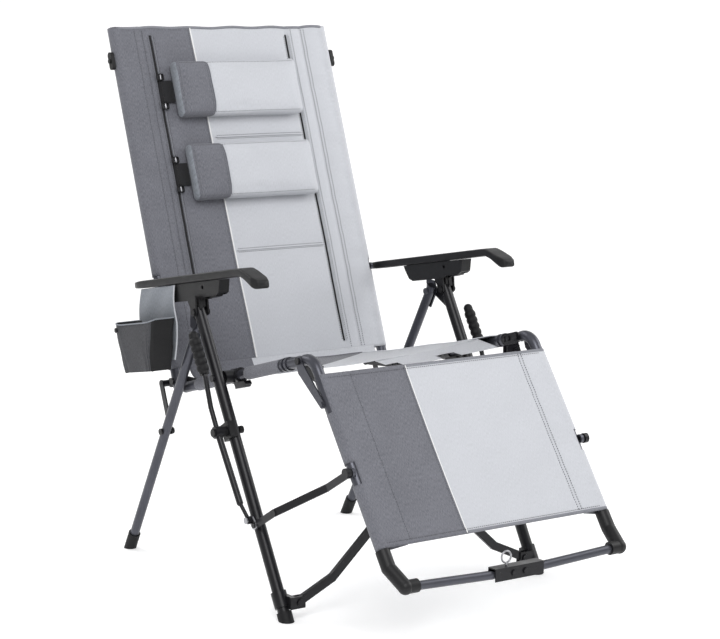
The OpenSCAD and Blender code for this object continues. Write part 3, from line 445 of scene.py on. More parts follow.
def back_relief(x, s):
    """Padding lowered 4 mm at its seams and crowned between them, with slits and ripples."""
    boxes = [BACK_S[0], *BACK_SEAMS, BACK_S[1]]
    centre = (x > back_border(s)) & (x < SLIT_R)
    depth = -0.0045 + 0.0040 * crown(x, [-FRAME_X, -STRIP, -0.0745, SLIT_R, STRIP, FRAME_X])
    depth = depth * np.where(centre, 0.45 + 0.55 * crown(s, boxes), 1.0)
    depth = depth - 0.0022 * centre * (1 - crown(s, boxes))
    for line in (SLIT_L, SLIT_R):
        depth = depth - 0.0030 * dip(x - line, 0.0035) * ((s > SLIT_S[0]) & (s < SLIT_S[1]))
    return depth + tension(x, s, 0.4) + 0.0007 * np.sin(23 * s + 9 * x)


def back_colours(x, s):
    """Dark left of the seam and light to its right, right round both tubes."""
    return np.where(x < back_border(s), 0, 2)


def back_cut(x, n, s):
    """Windows for the armrests' pins."""
    return (np.abs(x) > FRAME_X + 0.002) & (np.abs(s - 0.212) < 0.0135)


panel(
    "back_cloth", "back", BACK_S, [-STRIP, SLIT_L, -0.0745, SLIT_R, STRIP], back_border, back_relief,
    back_colours, back_cut, "back", "back_sling", ["back_tube_l", "back_tube_r"],
)

# %% [markdown]
# The leg rest is a plain panel: dark on one side of the colour seam and light on the other, with a
# taped hem at each end. The seat is the same kind of sheet, which sags a little between its tubes.

# %% The leg rest and seat panels
LEG_S = (0.050, 0.407)
SEAT_S = (0.008, 0.384)
HEM_TAPE = 0.011


def straight_border(s):
    """A colour seam that keeps its distance from the middle."""
    return -0.075 + 0.0 * s


def hem_step(s, ends):
    """The hem's tape stands 0.8 mm proud near both ends."""
    near = np.minimum(s - ends[0], ends[1] - s)
    return 0.0008 * (near < HEM_TAPE)


def leg_relief(x, s):
    """A slightly slack sheet: 3 mm down in the middle, stitch lines and tension ripples."""
    slack = -0.0030 * (1 - (x / FRAME_X) ** 2) * np.sin(np.pi * (s - LEG_S[0]) / (LEG_S[1] - LEG_S[0]))
    seams = -0.0008 * (dip(x - STRIP, 0.003) + dip(x + STRIP, 0.003) + dip(x + 0.075, 0.003))
    return slack + seams + hem_step(s, LEG_S) + 0.7 * tension(x, s, 1.7) - 0.0008


def seat_relief(x, s):
    """A hammock: 16 mm down in the middle, most at half length, with slow waves."""
    share = np.sin(np.pi * np.clip((s - SEAT_S[0]) / (SEAT_S[1] - SEAT_S[0]), 0, 1))
    sag = -0.012 * (1 - (x / FRAME_X) ** 2) * (0.45 + 0.55 * share)
    return sag + hem_step(s, SEAT_S) + 0.0010 * np.sin(38 * x + 12 * s) + tension(x, s, 2.9)


def leg_colours(x, s):
    """Dark up to the seam, light after it, mid grey tape at both ends."""
    near = np.minimum(s - LEG_S[0], LEG_S[1] - s)
    return np.where(x < straight_border(s), 0, np.where(near < HEM_TAPE * 0.8, 1, 2))


def seat_colours(x, s):
    """Dark up to the seam, light after it."""
    return np.where(x < straight_border(s), 0, 2)


def leg_cut(x, n, s):
    """Room for the link's bolts and for the steel gussets at the knee."""
    bolt = (np.abs(x) > FRAME_X + 0.001) & (np.abs(s - 0.252) < 0.023)
    gusset = (np.abs(x) > FRAME_X + 0.009) & (s < 0.125)
    return bolt | gusset


def seat_cut(x, n, s):
    """Room for the clamps on the front legs and for the plates at the hip."""
    clamp = (np.abs(x) > FRAME_X - 0.019) & (s > 0.188) & (s < 0.256)
    plate = (np.abs(x) > FRAME_X - 0.025) & (s < 0.052)
    return clamp | plate


panel(
    "legrest_cloth", "leg", LEG_S, [-STRIP, -0.075, STRIP], straight_border, leg_relief, leg_colours,
    leg_cut, "legrest", "legrest_sling", ["legrest_tube_l", "legrest_tube_r"],
)
panel(
    "seat_cloth", "seat", SEAT_S, [-STRIP, -0.075, STRIP], straight_border, seat_relief, seat_colours,
    seat_cut, "frame", "seat_sling", ["seat_tube_l", "seat_tube_r"],
)

# %% [markdown]
# Behind the sitter the back and the seat are one length of cloth. The piece between them follows a bend
# under the hips, from the back's lower edge to the seat's rear edge.


# %% The hip's bend
HIP_SEAM = -0.0811
HIP_ROWS = 13


def hip_bend(x, v):
    """A quadratic curve in the side plane, from the back's lower edge (v 0) to the seat's rear edge (v 1)."""
    top = place("back", x, BACK_S[0] + 0.004, SLEEVE_R + back_relief(x, BACK_S[0] + 0.004) - 0.0006)
    end = place("seat", x, SEAT_S[0] + 0.010, SLEEVE_R + seat_relief(x, SEAT_S[0] + 0.010) - 0.0012)
    mid = place("back", x, -0.004, SLEEVE_R - 0.002 + 0.0012 * np.sin(70 * x))
    v = v[..., None]
    return (1 - v) ** 2 * top + 2 * v * (1 - v) * mid + v**2 * end


hip_x = columns([-0.238, HIP_SEAM, 0.238])
hip_v = np.linspace(0, 1, HIP_ROWS)[:, None]
hip_points = hip_bend(*np.broadcast_arrays(hip_x[None, :], hip_v))
hip_faces = grid_faces(*hip_points.shape[:2])
hip_mid = np.tile(hip_x, HIP_ROWS)[hip_faces].mean(1)
hip_uv = measured_uv(hip_points)
hip_cloth = new_piece(
    "hip_cloth", hip_points, hip_faces, [CLOTH["dark"], CLOTH["light"]], hip_uv,
    (hip_mid > HIP_SEAM).astype(int),
)
thicken(hip_cloth, 0.0014)
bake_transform(hip_cloth)
print("hip cloth cut", hip_uv[-1, -1].round(3))

# %% [markdown]
# Seams are what the eye reads first on stretched cloth. White piping runs down the colour seam, and
# pairs of stitch lines hold the sleeves. Each stitch is a tiny six-sided bead, placed in one array.


# %% Piping and stitches
def piping(name, path, radius, body, colour="piping"):
    """A thin closed tube along a path, riding on a body."""
    obj = loft(name, cord_rings(path, radius), CLOTH[colour])
    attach(obj, body)
    return obj


def stitches(name, lines, body, pitch=0.0050, share=0.66, radius=0.00075, colour="thread"):
    """Beads along polylines: each a stretched octahedron along the line's direction, all in one mesh."""
    verts, faces = [], []
    start = 0
    for line in lines:
        line = np.asarray(line, float)
        seg = np.linalg.norm(np.diff(line, axis=0), axis=1)
        run = np.concatenate([[0], np.cumsum(seg)])
        at = np.arange(pitch, run[-1] - pitch, pitch)
        if len(at) == 0:
            continue
        spot = np.stack([np.interp(at, run, line[:, i]) for i in range(3)], axis=-1)
        ahead = np.stack([np.interp(at + 0.001, run, line[:, i]) for i in range(3)], axis=-1)
        t = ahead - spot
        t /= np.linalg.norm(t, axis=1, keepdims=True)
        a = np.cross(t, [[0.31, 0.77, 0.55]])
        a /= np.linalg.norm(a, axis=1, keepdims=True)
        b = np.cross(t, a)
        half = pitch * share / 2
        ring = [a, b, -a, -b]
        parts = [spot - half * t] + [spot - 0.55 * half * t + radius * r for r in ring]
        parts += [spot + 0.55 * half * t + radius * r for r in ring] + [spot + half * t]
        bead = np.stack(parts, axis=1)
        idx = start + 10 * np.arange(len(at))[:, None, None]
        quad = [[1 + j, 1 + (j + 1) % 4, 5 + (j + 1) % 4, 5 + j] for j in range(4)]
        cap = [[9, 5 + j, 5 + (j + 1) % 4] for j in range(4)]
        first = [[0, 1 + (j + 1) % 4, 1 + j] for j in range(4)]
        for shape in (first, quad, cap):
            faces += (idx + np.array(shape)[None]).reshape(-1, len(shape[0])).tolist()
        verts.append(bead.reshape(-1, 3))
        start += 10 * len(at)
    verts = np.concatenate(verts)
    obj = new_piece(name, verts, faces, [CLOTH[colour]], np.stack([verts[:, 0], verts[:, 2]], -1))
    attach(recalculated(obj, 1e-7), body)
    print(name, start // 10, "stitches")
    return obj


def line_on(where, x, s, relief, lift):
    """A line on a panel's front, lifted off the cloth."""
    x, s = np.broadcast_arrays(np.asarray(x, float), np.asarray(s, float))
    return place(where, x, s, SLEEVE_R + relief(x, s) + lift)


s_back = np.linspace(BACK_S[0] + 0.002, BACK_S[1] - 0.002, 160)
s_leg = np.linspace(LEG_S[0] + 0.002, LEG_S[1] - 0.002, 90)
s_slit = np.linspace(SLIT_S[0] + 0.002, SLIT_S[1] - 0.002, 150)
x_box = np.linspace(-0.066, SLIT_R - 0.006, 40)
border_line = line_on("back", back_border(s_back), s_back, back_relief, 0.0003)
piping("back_piping", border_line, 0.0017, "back")
leg_line = line_on("leg", -0.0755 + 0 * s_leg, s_leg, leg_relief, 0.0002)
piping("legrest_piping", leg_line, 0.0011, "legrest")

# sewn lines down the back: two on the dark side, one by the right slit and a pair on the light side
SLEEVE_SEAMS = (-0.222, -0.202, 0.1785, 0.208, 0.2145)
x_roll = np.linspace(-0.262, 0.262, 120)
roll_path = line_on("back", x_roll, BACK_S[1] - 0.002 + 0.0012 * np.sin(60 * x_roll), back_relief, -0.0010)
piping("back_top_roll", roll_path, 0.0034, "back", "mid")

back_lines = [line_on("back", x + 0 * s_back, s_back, back_relief, 0.0003) for x in SLEEVE_SEAMS]
back_lines += [line_on("back", back_border(s_back) - 0.006, s_back, back_relief, 0.0003)]
back_lines += [line_on("back", x + 0 * s_slit, s_slit, back_relief, 0.0003)
               for x in (SLIT_L - 0.007, SLIT_L + 0.007, SLIT_R - 0.006, SLIT_R + 0.006)]
back_lines += [line_on("back", x_box, s + 0 * x_box, back_relief, 0.0003)
               for b in BACK_SEAMS for s in (b - 0.004, b + 0.004)]
stitches("back_stitching", back_lines, "back")
for i, level in enumerate(BACK_SEAMS):
    box_line = line_on("back", x_box, level + 0 * x_box, back_relief, 0.0010)
    piping(f"back_box_cord_{i}", box_line, 0.0014, "back", "light")
x_hem = np.linspace(-0.262, 0.262, 90)
leg_lines = [line_on("leg", x + 0 * s_leg, s_leg, leg_relief, 0.0003)
             for x in (-STRIP, STRIP - 0.004, STRIP + 0.004, -0.081)]
leg_lines += [line_on("leg", x_hem, s + 0 * x_hem, leg_relief, 0.0003)
              for s in (LEG_S[0] + HEM_TAPE - 0.002, LEG_S[1] - HEM_TAPE + 0.002)]
stitches("legrest_stitching", leg_lines, "legrest")

# %% [markdown]
# Two slits run down the back, where the pillow straps pass through. Each opening is a narrow near-black strip
# of painted shade on the cloth, standing for the dark inside of the cut, with a thin corded edge beside it;
# it reads as a cut and needs no hole in the sheet.


# %% Slits in the back
def ribbon(name, path, across, width, thickness, material):
    """A flat band: a rounded rectangle, width along the across vector, carried along a path."""
    path = np.asarray(path, float)
    across = np.asarray(across, float) / np.linalg.norm(across)
    along = np.gradient(path, axis=0)
    along /= np.linalg.norm(along, axis=1, keepdims=True)
    out = np.cross(along, across)
    out /= np.linalg.norm(out, axis=1, keepdims=True)
    t = np.linspace(0, 2 * np.pi, 20, endpoint=False)
    a = np.sign(np.cos(t)) * np.abs(np.cos(t)) ** 0.25 * width / 2
    b = np.sign(np.sin(t)) * np.abs(np.sin(t)) ** 0.5 * thickness / 2
    rings = path[:, None] + a[None, :, None] * across + b[None, :, None] * out[:, None]
    return loft(name, rings, material)


X_AXIS = np.array([1.0, 0.0, 0.0])
UP_BACK = place("back", 0.0, 1.0, 0.0) - place("back", 0.0, 0.0, 0.0)
OPEN = (
    ("left", SLIT_L, 0.047, 0.758), ("right_low", SLIT_R, 0.047, 0.600), ("right_top", SLIT_R, 0.703, 0.758),
)
for label, x, low, high in OPEN:
    s_open = np.linspace(low, high, 90)
    path = line_on("back", x + 0 * s_open, s_open, back_relief, 0.0013)
    # painted shade: near-black cloth laid over the opening, where there would only be shadow
    slit = ribbon(f"back_slit_{label}", path, X_AXIS, 0.0050, 0.0012, CLOTH["lining_and_slit_shade"])
    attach(slit, "back")
    edge = line_on("back", x + 0.0046 + 0 * s_open, s_open, back_relief, 0.0006)
    piping(f"back_slit_edge_{label}", edge, 0.0010, "back", "light" if x > 0 else "mid")
print("slits:", ", ".join(entry[0] for entry in OPEN))

# %% [markdown]
# A pillow is two panels and a gusset round a block of foam. It starts as a rounded box, slightly small;
# Blender's cloth solver then blows it up, so that its faces crown and its sides pull in between the
# corners as on a real cushion. The colour seam and its stitching are pressed in afterwards.

# %% Pillows
PILLOW = (0.314, 0.031, 0.125)
PILLOW_N = 0.0137
CROWN_CAP = 0.0060
EDGE_HOLD = 0.028
SEAM_X = -0.074
# past this the pillow's end face takes the blue-grey cloth as painted light: the end lit from the left
LIT_END_X = -0.1515


def rounded_box(size, edge, step=0.0055):
    """A box whose every point is pushed onto a core box grown by edge: core point + edge * unit offset."""
    half = np.array(size) / 2
    verts, faces = [], []
    start = 0
    for axis in range(3):
        for sign in (-1, 1):
            i, j = [k for k in range(3) if k != axis]
            a = np.linspace(-half[i], half[i], max(4, int(size[i] / step)))
            b = np.linspace(-half[j], half[j], max(4, int(size[j] / step)))
            grid = np.zeros((len(a), len(b), 3))
            grid[..., i], grid[..., j], grid[..., axis] = a[:, None], b[None, :], sign * half[axis]
            core = np.clip(grid, -(half - edge), half - edge)
            out = grid - core
            out /= np.linalg.norm(out, axis=-1, keepdims=True)
            verts.append((core + edge * out).reshape(-1, 3))
            faces.append(grid_faces(len(a), len(b)) + start)
            start += len(a) * len(b)
    return np.concatenate(verts), np.concatenate(faces)


def blown_up(obj, pressure=4.0, cap=CROWN_CAP, frames=20):
    """Voxel remesh, cloth with inner pressure and no gravity, each point's move capped, one subdivision."""
    remesh = obj.modifiers.new("remesh", "REMESH")
    remesh.mode = "VOXEL"
    remesh.voxel_size = 0.005
    apply_modifiers(obj)
    start = points_of(obj)
    cloth = obj.modifiers.new("cloth", "CLOTH")
    cloth.settings.use_pressure = True
    cloth.settings.uniform_pressure_force = pressure
    cloth.settings.quality = 5
    cloth.settings.effector_weights.gravity = 0.0
    scene = bpy.context.scene
    for f in range(1, frames + 1):
        scene.frame_set(f)
    apply_modifiers(obj)
    scene.frame_set(1)
    moved = points_of(obj) - start
    far = np.linalg.norm(moved, axis=1, keepdims=True)
    # the faces swell freely; the sewn edges hardly move
    half = np.abs(start).max(axis=0)
    edge = np.minimum(half[0] - np.abs(start[:, 0]), half[2] - np.abs(start[:, 2]))[:, None]
    free = 0.15 + 0.85 * np.clip(edge / EDGE_HOLD, 0, 1)
    held = start + moved * free * np.minimum(1.0, cap / np.maximum(far, 1e-9))
    obj.data.vertices.foreach_set("co", held.astype(np.float32).ravel())
    smooth = obj.modifiers.new("smooth", "CORRECTIVE_SMOOTH")
    smooth.iterations = 2
    smooth.use_only_smooth = True
    sub = obj.modifiers.new("finer", "SUBSURF")
    sub.levels = sub.render_levels = 1
    apply_modifiers(obj)
    return obj


def points_of(obj):
    """The mesh's points as an array."""
    co = np.zeros(len(obj.data.vertices) * 3, np.float32)
    obj.data.vertices.foreach_get("co", co)
    return co.reshape(-1, 3).astype(float)


def apply_modifiers(obj):
    """Replaces the mesh with its evaluated copy and drops the modifiers."""
    depsgraph = bpy.context.evaluated_depsgraph_get()
    mesh = bpy.data.meshes.new_from_object(obj.evaluated_get(depsgraph))
    old = obj.data
    obj.modifiers.clear()
    obj.data = mesh
    bpy.data.meshes.remove(old)


def flat_uv(obj, co):
    """A UV map in metres from the pillow's own x and height, with depth added so the sides aren't smeared."""
    loops = np.zeros(len(obj.data.loops), np.int32)
    obj.data.loops.foreach_get("vertex_index", loops)
    layer = obj.data.uv_layers.new(name="UVMap")
    uv = np.stack([co[:, 0] + 0.7 * co[:, 1], co[:, 2] + 0.7 * co[:, 1]], axis=-1)
    layer.data.foreach_set("uv", uv[loops].astype(np.float32).ravel())


def pillow(name, node, s_mid, body, seed):
    """A stuffed pillow on the back's front: blown up, its seam pressed in, then laid on the panel."""
    verts, faces = rounded_box(PILLOW, 0.007)
    obj = recalculated(new_piece(name, verts, faces, [CLOTH["dark"], CLOTH["light"], CLOTH["flap_and_lit_pillow_end"]]), 1e-5)
    blown_up(obj)
    co = points_of(obj)
    local = np.random.default_rng(seed)
    phase = local.uniform(0, 6, 4)
    front = np.clip(-co[:, 1] / 0.012, 0, 1)
    waves = 0.0007 * np.sin(41 * co[:, 0] + 19 * co[:, 2] + phase[0])
    waves += 0.0005 * np.sin(73 * co[:, 2] - 28 * co[:, 0] + phase[1])
    co[:, 1] -= front * waves
    # creases gather at the ends, and the seam pulls the face in
    end = np.exp(-((PILLOW[0] / 2 - np.abs(co[:, 0])) / 0.02))
    co[:, 2] += end * 0.0012 * np.sin(260 * co[:, 2] + phase[2]) * front
    groove = np.exp(-(((co[:, 0] - SEAM_X) / 0.0035) ** 2))
    co[:, 1] += 0.0016 * groove * front
    co[:, 2] -= np.sign(co[:, 2]) * 0.0010 * groove
    # flat where it rests on the back
    co[:, 1] = np.minimum(co[:, 1], 0.0168)
    obj.data.vertices.foreach_set("co", co.astype(np.float32).ravel())
    flat_uv(obj, co)
    centres = np.zeros(len(obj.data.polygons) * 3, np.float32)
    obj.data.polygons.foreach_get("center", centres)
    # faces past the end limit get the blue-grey cloth: painted light on the end lit from the left; the rest
    # is the real two-tone
    pick = np.where(centres[0::3] > SEAM_X, 1, np.where(centres[0::3] < LIT_END_X, 2, 0))
    obj.data.polygons.foreach_set("material_index", pick.astype(np.int32))
    world = place("back", co[:, 0] - 0.001, s_mid + co[:, 2], PILLOW_N + 0.0170 - co[:, 1])
    obj.data.vertices.foreach_set("co", world.astype(np.float32).ravel())
    obj.data.polygons.foreach_set("use_smooth", np.ones(len(obj.data.polygons), bool))
    obj.data.update()
    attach(obj, body)
    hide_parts(node)
    print(name, len(obj.data.polygons), "faces, box", np.ptp(world, axis=0).round(3))
    return co


# how far up the back each pillow's middle lies
HEAD_S, LUMBAR_S = 0.628, 0.442
head_co = pillow("headrest_pillow", "head_pillow", HEAD_S, "head", 3)
lumbar_co = pillow("lumbar_cushion", "lumbar_pillow", LUMBAR_S, "lumbar", 5)


# %% [markdown]
# The end panels and the colour seam are topstitched. The seam line follows the pillow's own surface:
# at each height, the front of the blown-up shape is looked up from its points.


# %% Pillow seams
def pillow_front(co, x, z):
    """Depth of the pillow's front face at (x, z): the mean of the nearest front points."""
    spot = np.stack([x, z], axis=-1)
    front = co[co[:, 1] < 0.0]
    gap = np.linalg.norm(front[None, :, [0, 2]] - spot[:, None], axis=-1)
    near = np.argsort(gap, axis=1)[:, :4]
    return front[near, 1].mean(axis=1)


def pillow_seams(label, co, s_mid, body):
    """A corded seam beside the colour change, a topstitch next to it, and one near the end panel."""
    z = np.linspace(-0.0555, 0.0555, 70)
    lines = []
    along = np.linspace(-0.147, 0.147, 150)
    rows = [(x + 0 * z, z) for x in (SEAM_X, SEAM_X - 0.006, -0.147)]
    rows += [(along, level + 0 * along) for level in (-0.0560, 0.0560)]
    for x, height in rows:
        y = pillow_front(co, x, height)
        lines.append(place("back", x - 0.001, s_mid + height, PILLOW_N + 0.0170 - y + 0.0002))
    cordline = loft(f"{label}_seam_cord", cord_rings(lines[0], 0.0009), CLOTH["dark"])
    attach(cordline, body)
    stitches(f"{label}_stitching", lines[1:], body, pitch=0.0042)


pillow_seams("headrest", head_co, HEAD_S, "head")
pillow_seams("lumbar", lumbar_co, LUMBAR_S, "lumbar")


# %% [markdown]
# Each pillow hangs on one loop of webbing that leaves its ends, dives through the slits and runs behind
# the back. Two ladder clips on the dark end set its length.


# %% Straps and clips
def rounded_path(corners, radius=0.0022, steps=5):
    """A polyline with each inner corner replaced by a short quadratic bend."""
    corners = np.asarray(corners, float)
    out = [corners[:1]]
    t = np.linspace(0, 1, steps)[:, None]
    for p, c, q in zip(corners, corners[1:], corners[2:]):
        a = c + radius * (p - c) / np.linalg.norm(p - c)
        b = c + radius * (q - c) / np.linalg.norm(q - c)
        out.append((1 - t) ** 2 * a + 2 * t * (1 - t) * c + t**2 * b)
    out.append(corners[-1:])
    return np.concatenate(out)


STRAP_W, STRAP_T = 0.050, 0.0014


def strap(label, node, s_mid, body):
    """Webbing from the pillow's end through a slit, behind the back and out of the other slit."""
    front_n, rear_n = SLEEVE_R + 0.0013, SLEEVE_R - 0.0035 - 0.0052
    x = [-0.156, SLIT_L, SLIT_L, SLIT_R, SLIT_R, 0.155]
    n = [front_n + 0.004, front_n, rear_n, rear_n, front_n, front_n + 0.003]
    path = rounded_path(place("back", np.array(x), s_mid, np.array(n)))
    band = ribbon(f"{label}_webbing", path, UP_BACK, STRAP_W, STRAP_T, CLOTH["webbing"])
    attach(band, body)
    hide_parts(node)
    length = float(np.linalg.norm(np.diff(path, axis=0), axis=1).sum())
    print(label, "webbing", round(length, 3), "m")
    return length


def clips(label, s_mid, body):
    """Two small ladder clips at the webbing's edges, each a closed tube round a rectangle with a plated
    bar across it, and the cord that joins them."""
    n = SLEEVE_R + 0.0048
    x0, x1, half = -0.1890, -0.1750, 0.0058
    parts = []
    for end, level in (("low", s_mid - 0.0325), ("high", s_mid + 0.0325)):
        x = np.array([x1, x0, x0, x1, x1])
        h = level + np.array([half, half, -half, -half, half])
        parts.append((end, rounded_path(place("back", x, h, n), 0.003), 0.0021, "moulded", "black_plastic"))
        bar = place("back", np.full(6, -0.1820), level + np.linspace(-half, half, 6), n + 0.0010)
        parts.append((end + "_bar", bar, 0.0019, "plated", "steel"))
    joint = place("back", np.full(8, -0.1820), s_mid + np.linspace(-0.027, 0.027, 8), n - 0.0012)
    parts.append(("cord", joint, 0.0011, "moulded", "black_plastic"))
    for part, path, radius, finish, slot in parts:
        piece = loft(f"{label}_clip_{part}", cord_rings(path, radius, 10), HARD[finish])
        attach(piece, body)


STRAPPED = (("headrest", "head_strap", HEAD_S, "head"), ("lumbar", "lumbar_strap", LUMBAR_S, "lumbar"))
for label, node, s_mid, body in STRAPPED:
    strap(label, node, s_mid, body)
    clips(label, s_mid, body)

# %% [markdown]
# The pouch hangs outside one armrest: a soft back panel that curves down from the arm, and a pocket
# whose outer wall bulges. Its walls are one grid carried round a rounded outline, from rim to floor.

# %% The side pouch
POUCH_X = (-0.3170, -0.3745)
POUCH_RIM, POUCH_FLOOR = -0.066, -0.172


def pouch_wall(t, v):
    """Pocket walls: t runs round a rounded rectangle in x and l, v from rim (0) to floor (1). The outline
    shrinks towards the floor, the outer side bulges by a half sine of v, and the rim dips at mid-side."""
    c, s = np.cos(2 * np.pi * t), np.sin(2 * np.pi * t)
    k = 0.28
    cx, sl = np.sign(c) * np.abs(c) ** k, np.sign(s) * np.abs(s) ** k
    taper = 1 - 0.30 * v
    half_x = (POUCH_X[0] - POUCH_X[1]) / 2
    bulge = np.where(c < 0, -0.003, 0.0) * np.sin(np.pi * v)
    x = (POUCH_X[0] + POUCH_X[1]) / 2 + cx * half_x * (1 - 0.10 * v) + bulge
    mid_l = -0.171 - 0.004 * v
    along = mid_l + sl * 0.085 * taper + 0.0016 * np.sin(9 * v + 14 * t)
    n = POUCH_RIM + (POUCH_FLOOR - POUCH_RIM) * v - 0.006 * (1 - v) * np.exp(-((t - 0.5) / 0.16) ** 2)
    return place("arm", x + 0.0008 * np.sin(23 * t * 6.28 + 7 * v) * v, along, n)


def pouch():
    """Outer walls and floor in one grid, then the lining as the same grid moved inwards by Solidify."""
    t = np.linspace(0, 1, 97)[None, :]
    v = np.concatenate([np.linspace(0, 1, 30), np.full(6, 1.0)])[:, None]
    points = pouch_wall(t, v)
    floor = points[29].mean(axis=0)
    shrink = np.linspace(1, 0, 7)[1:, None, None]
    points[30:] = floor + (points[29][None] - floor) * shrink
    uv = measured_uv(points)
    faces = grid_faces(*points.shape[:2])
    s = np.sin(2 * np.pi * (t[0, :-1] + 0.5 / 96))
    side = np.where(s > 0.7, 1, 0)
    pick = np.tile(side, points.shape[0] - 1)
    rows = np.repeat(np.arange(points.shape[0] - 1), 96)
    pick = np.where(rows >= 29, 1, pick)
    obj = new_piece("pouch_pocket", points, faces, [CLOTH["pocket"], CLOTH["lining_and_slit_shade"]], uv, pick)
    recalculated(obj)
    thicken(obj, 0.0016)
    obj.modifiers["thickness"].material_offset = 1
    rim = loft("pouch_rim", cord_rings(np.concatenate([points[0], points[0, 1:3]]), 0.0015), CLOTH["flap_and_lit_pillow_end"])
    return obj, rim, float(uv[0, -1, 0]), float(uv[29, 0, 1])


def pouch_back():
    """The panel between the arm and the pocket: a sheet over l and n, curved out at its top, with a
    rounded front edge; its width narrows towards the arm at the rear."""
    rows, cols = 34, 40
    v = np.linspace(0, 1, rows)[:, None]
    t = np.linspace(0, 1, cols)[None, :]
    rear = -0.256 + 0.030 * (1 - v) ** 1.5
    front = -0.083 - 0.004 * np.sin(np.pi * v) - 0.026 * v**3
    along = rear + (front - rear) * t
    n = -0.001 + (POUCH_FLOOR + 0.020) * v
    x = -0.3158 - 0.0045 * np.sin(np.pi * np.minimum(1, 1.9 * v)) + 0.0012 * np.sin(11 * t + 6 * v)
    x = np.minimum(x, -0.3152)
    points = place("arm", x, along, n)
    uv = measured_uv(points)
    obj = new_piece("pouch_back", points, grid_faces(rows, cols), [CLOTH["flap_and_lit_pillow_end"]], uv)
    thicken(obj, 0.0014, 0.0)
    edge = loft("pouch_edge", cord_rings(points[:, -1], 0.0016), CLOTH["light"])
    return obj, edge


pocket, pocket_rim, pocket_round, pocket_deep = pouch()
panel_back, panel_edge = pouch_back()
for piece in (pocket, pocket_rim, panel_back, panel_edge):
    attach(piece, "arm_l")
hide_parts("side_pouch")
snap_path = place("arm", -0.3785 - np.linspace(0, 0.003, 4), -0.235, -0.082)
snap = loft("pouch_snap", cord_rings(snap_path, 0.0052, 20), HARD["moulded"])
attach(snap, "arm_l")
print("pouch: walls", round(pocket_round, 3), "m round,", round(pocket_deep, 3), "m deep")

# %% [markdown]
# The armrest is one moulding: a slim bar that widens towards the hand and bends down to a sloping pad.
# Its section is a rounded rectangle whose width, height and level are curves along the arm's length.

# %% Armrests
def armrest(side):
    """Rings of a superellipse: half-width and the top's and bottom's height are read from curves in l."""
    sign = -1 if side == "l" else 1
    l = np.concatenate([np.linspace(-0.256, 0.150, 30), np.linspace(0.160, 0.2365, 26)])
    knots = [-0.256, -0.240, 0.150, 0.178, 0.196, 0.212, 0.228, 0.2365]
    top = np.interp(l, knots, [0.0150, 0.0168, 0.0168, 0.0166, 0.0090, 0.0010, -0.0068, -0.0120])
    low = np.interp(l, knots, [0.0020, 0.0004, 0.0004, 0.0004, -0.0070, -0.0180, -0.0285, -0.0260])
    width_at = [-0.256, -0.238, 0.02, 0.150, 0.190, 0.222, 0.2365]
    wide = np.interp(l, width_at, [0.0125, 0.0165, 0.0172, 0.0178, 0.0188, 0.0188, 0.0130])
    for _ in range(2):
        top[1:-1] = (top[:-2] + 2 * top[1:-1] + top[2:]) / 4
        low[1:-1] = (low[:-2] + 2 * low[1:-1] + low[2:]) / 4
    t = np.linspace(0, 2 * np.pi, 40, endpoint=False)
    a = np.sign(np.cos(t)) * np.abs(np.cos(t)) ** 0.22
    b = np.sign(np.sin(t)) * np.abs(np.sin(t)) ** 0.28
    mid, half = (top + low) / 2, (top - low) / 2
    x = sign * (ARM_X + wide[:, None] * a[None, :])
    n = mid[:, None] + half[:, None] * b[None, :]
    rings = place("arm", x, l[:, None] + 0 * n, n)
    obj = loft(f"armrest_{side}_moulding", rings, HARD["moulded"])
    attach(obj, f"arm_{side}")
    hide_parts(f"armrest_{side}")
    return obj


for side in "lr":
    print("armrest", side, "reaches", np.round(points_of(armrest(side)).min(0), 3))

# %% [markdown]
# The studio is plain: a pale floor that meets a pale backdrop in a wide curve, two large soft lights
# from the front left and the right, and a low fill. The camera stands where a buyer would, to the
# front left and a little above the seat, with a long lens.

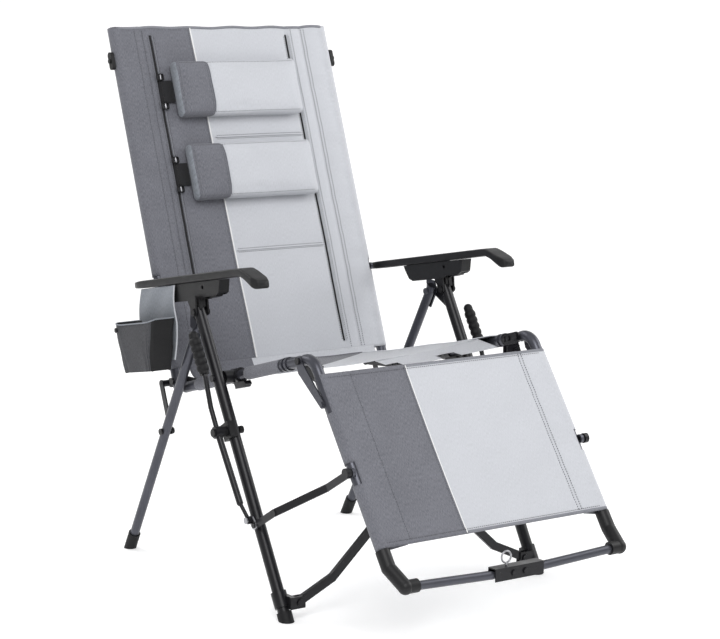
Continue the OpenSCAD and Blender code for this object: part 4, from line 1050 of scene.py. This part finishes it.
# %% Studio and camera
# the floor runs flat, turns up along a quarter circle of COVE_R and goes on as a wall
COVE_R, FLOOR_END = 1.6, 3.4
quarter = np.linspace(0, np.pi / 2, 16)[1:]
floor_run = np.concatenate([
    np.linspace(-6, FLOOR_END, 30), FLOOR_END + COVE_R * np.sin(quarter), np.full(8, FLOOR_END + COVE_R),
])
floor_rise = np.concatenate([np.zeros(30), COVE_R * (1 - np.cos(quarter)), np.linspace(2, 6, 8)])
across = np.linspace(-7, 7, 30)
yaw = math.radians(-34.72)
fx, fy = -math.sin(yaw), math.cos(yaw)
cove = np.stack(np.broadcast_arrays(
    across[None] * fy + floor_run[:, None] * fx,
    -across[None] * fx + floor_run[:, None] * fy,
    floor_rise[:, None] - 0.0004,
), axis=-1)
pale, _, pale_shader = fresh_material("pale_floor")
pale_shader.inputs["Base Color"].default_value = (0.92, 0.92, 0.92, 1)
pale_shader.inputs["Roughness"].default_value = 0.75
pale_shader.inputs["Emission Color"].default_value = (1, 1, 1, 1)
pale_shader.inputs["Emission Strength"].default_value = 0.22
floor = new_piece("floor", cove, grid_faces(*cove.shape[:2]), [pale])


def soft_light(name, spot, target, size, power):
    """A square area light at spot, turned to face target."""
    data = bpy.data.lights.new(name, "AREA")
    data.shape, data.size, data.energy = "SQUARE", size, power
    lamp = bpy.data.objects.new(name, data)
    lamp.location = np.array(spot) + ORIGIN
    lamp.rotation_euler = (Vector(target) - Vector(spot)).to_track_quat("-Z", "Y").to_euler()
    bpy.context.scene.collection.objects.link(lamp)


soft_light("key", (-1.6, -2.6, 3.0), (0, -0.1, 0.5), 2.2, 74)
soft_light("side", (2.8, -1.2, 2.2), (0, 0, 0.5), 2.2, 48)
soft_light("back", (-1.2, 2.6, 2.6), (0, 0, 0.6), 2.0, 40)
world = bpy.data.worlds.new("studio") if bpy.context.scene.world is None else bpy.context.scene.world
bpy.context.scene.world = world
world.use_nodes = True
sky = next(n for n in world.node_tree.nodes if n.type == "BACKGROUND")
sky.inputs[0].default_value = (1, 1, 1, 1)
sky.inputs[1].default_value = 0.62
bpy.context.scene.view_settings.view_transform = "Standard"

camera_data = bpy.data.cameras.new("camera")
camera_data.lens = 104.56
camera_data.sensor_width = 36
camera = bpy.data.objects.new("camera", camera_data)
camera.location = np.array([-2.4172, -3.6247, 1.1605]) + ORIGIN
camera.rotation_euler = (math.radians(81.66), 0, yaw)
bpy.context.scene.collection.objects.link(camera)
bpy.context.scene.camera = camera
print("camera", [round(c, 3) for c in camera.location])
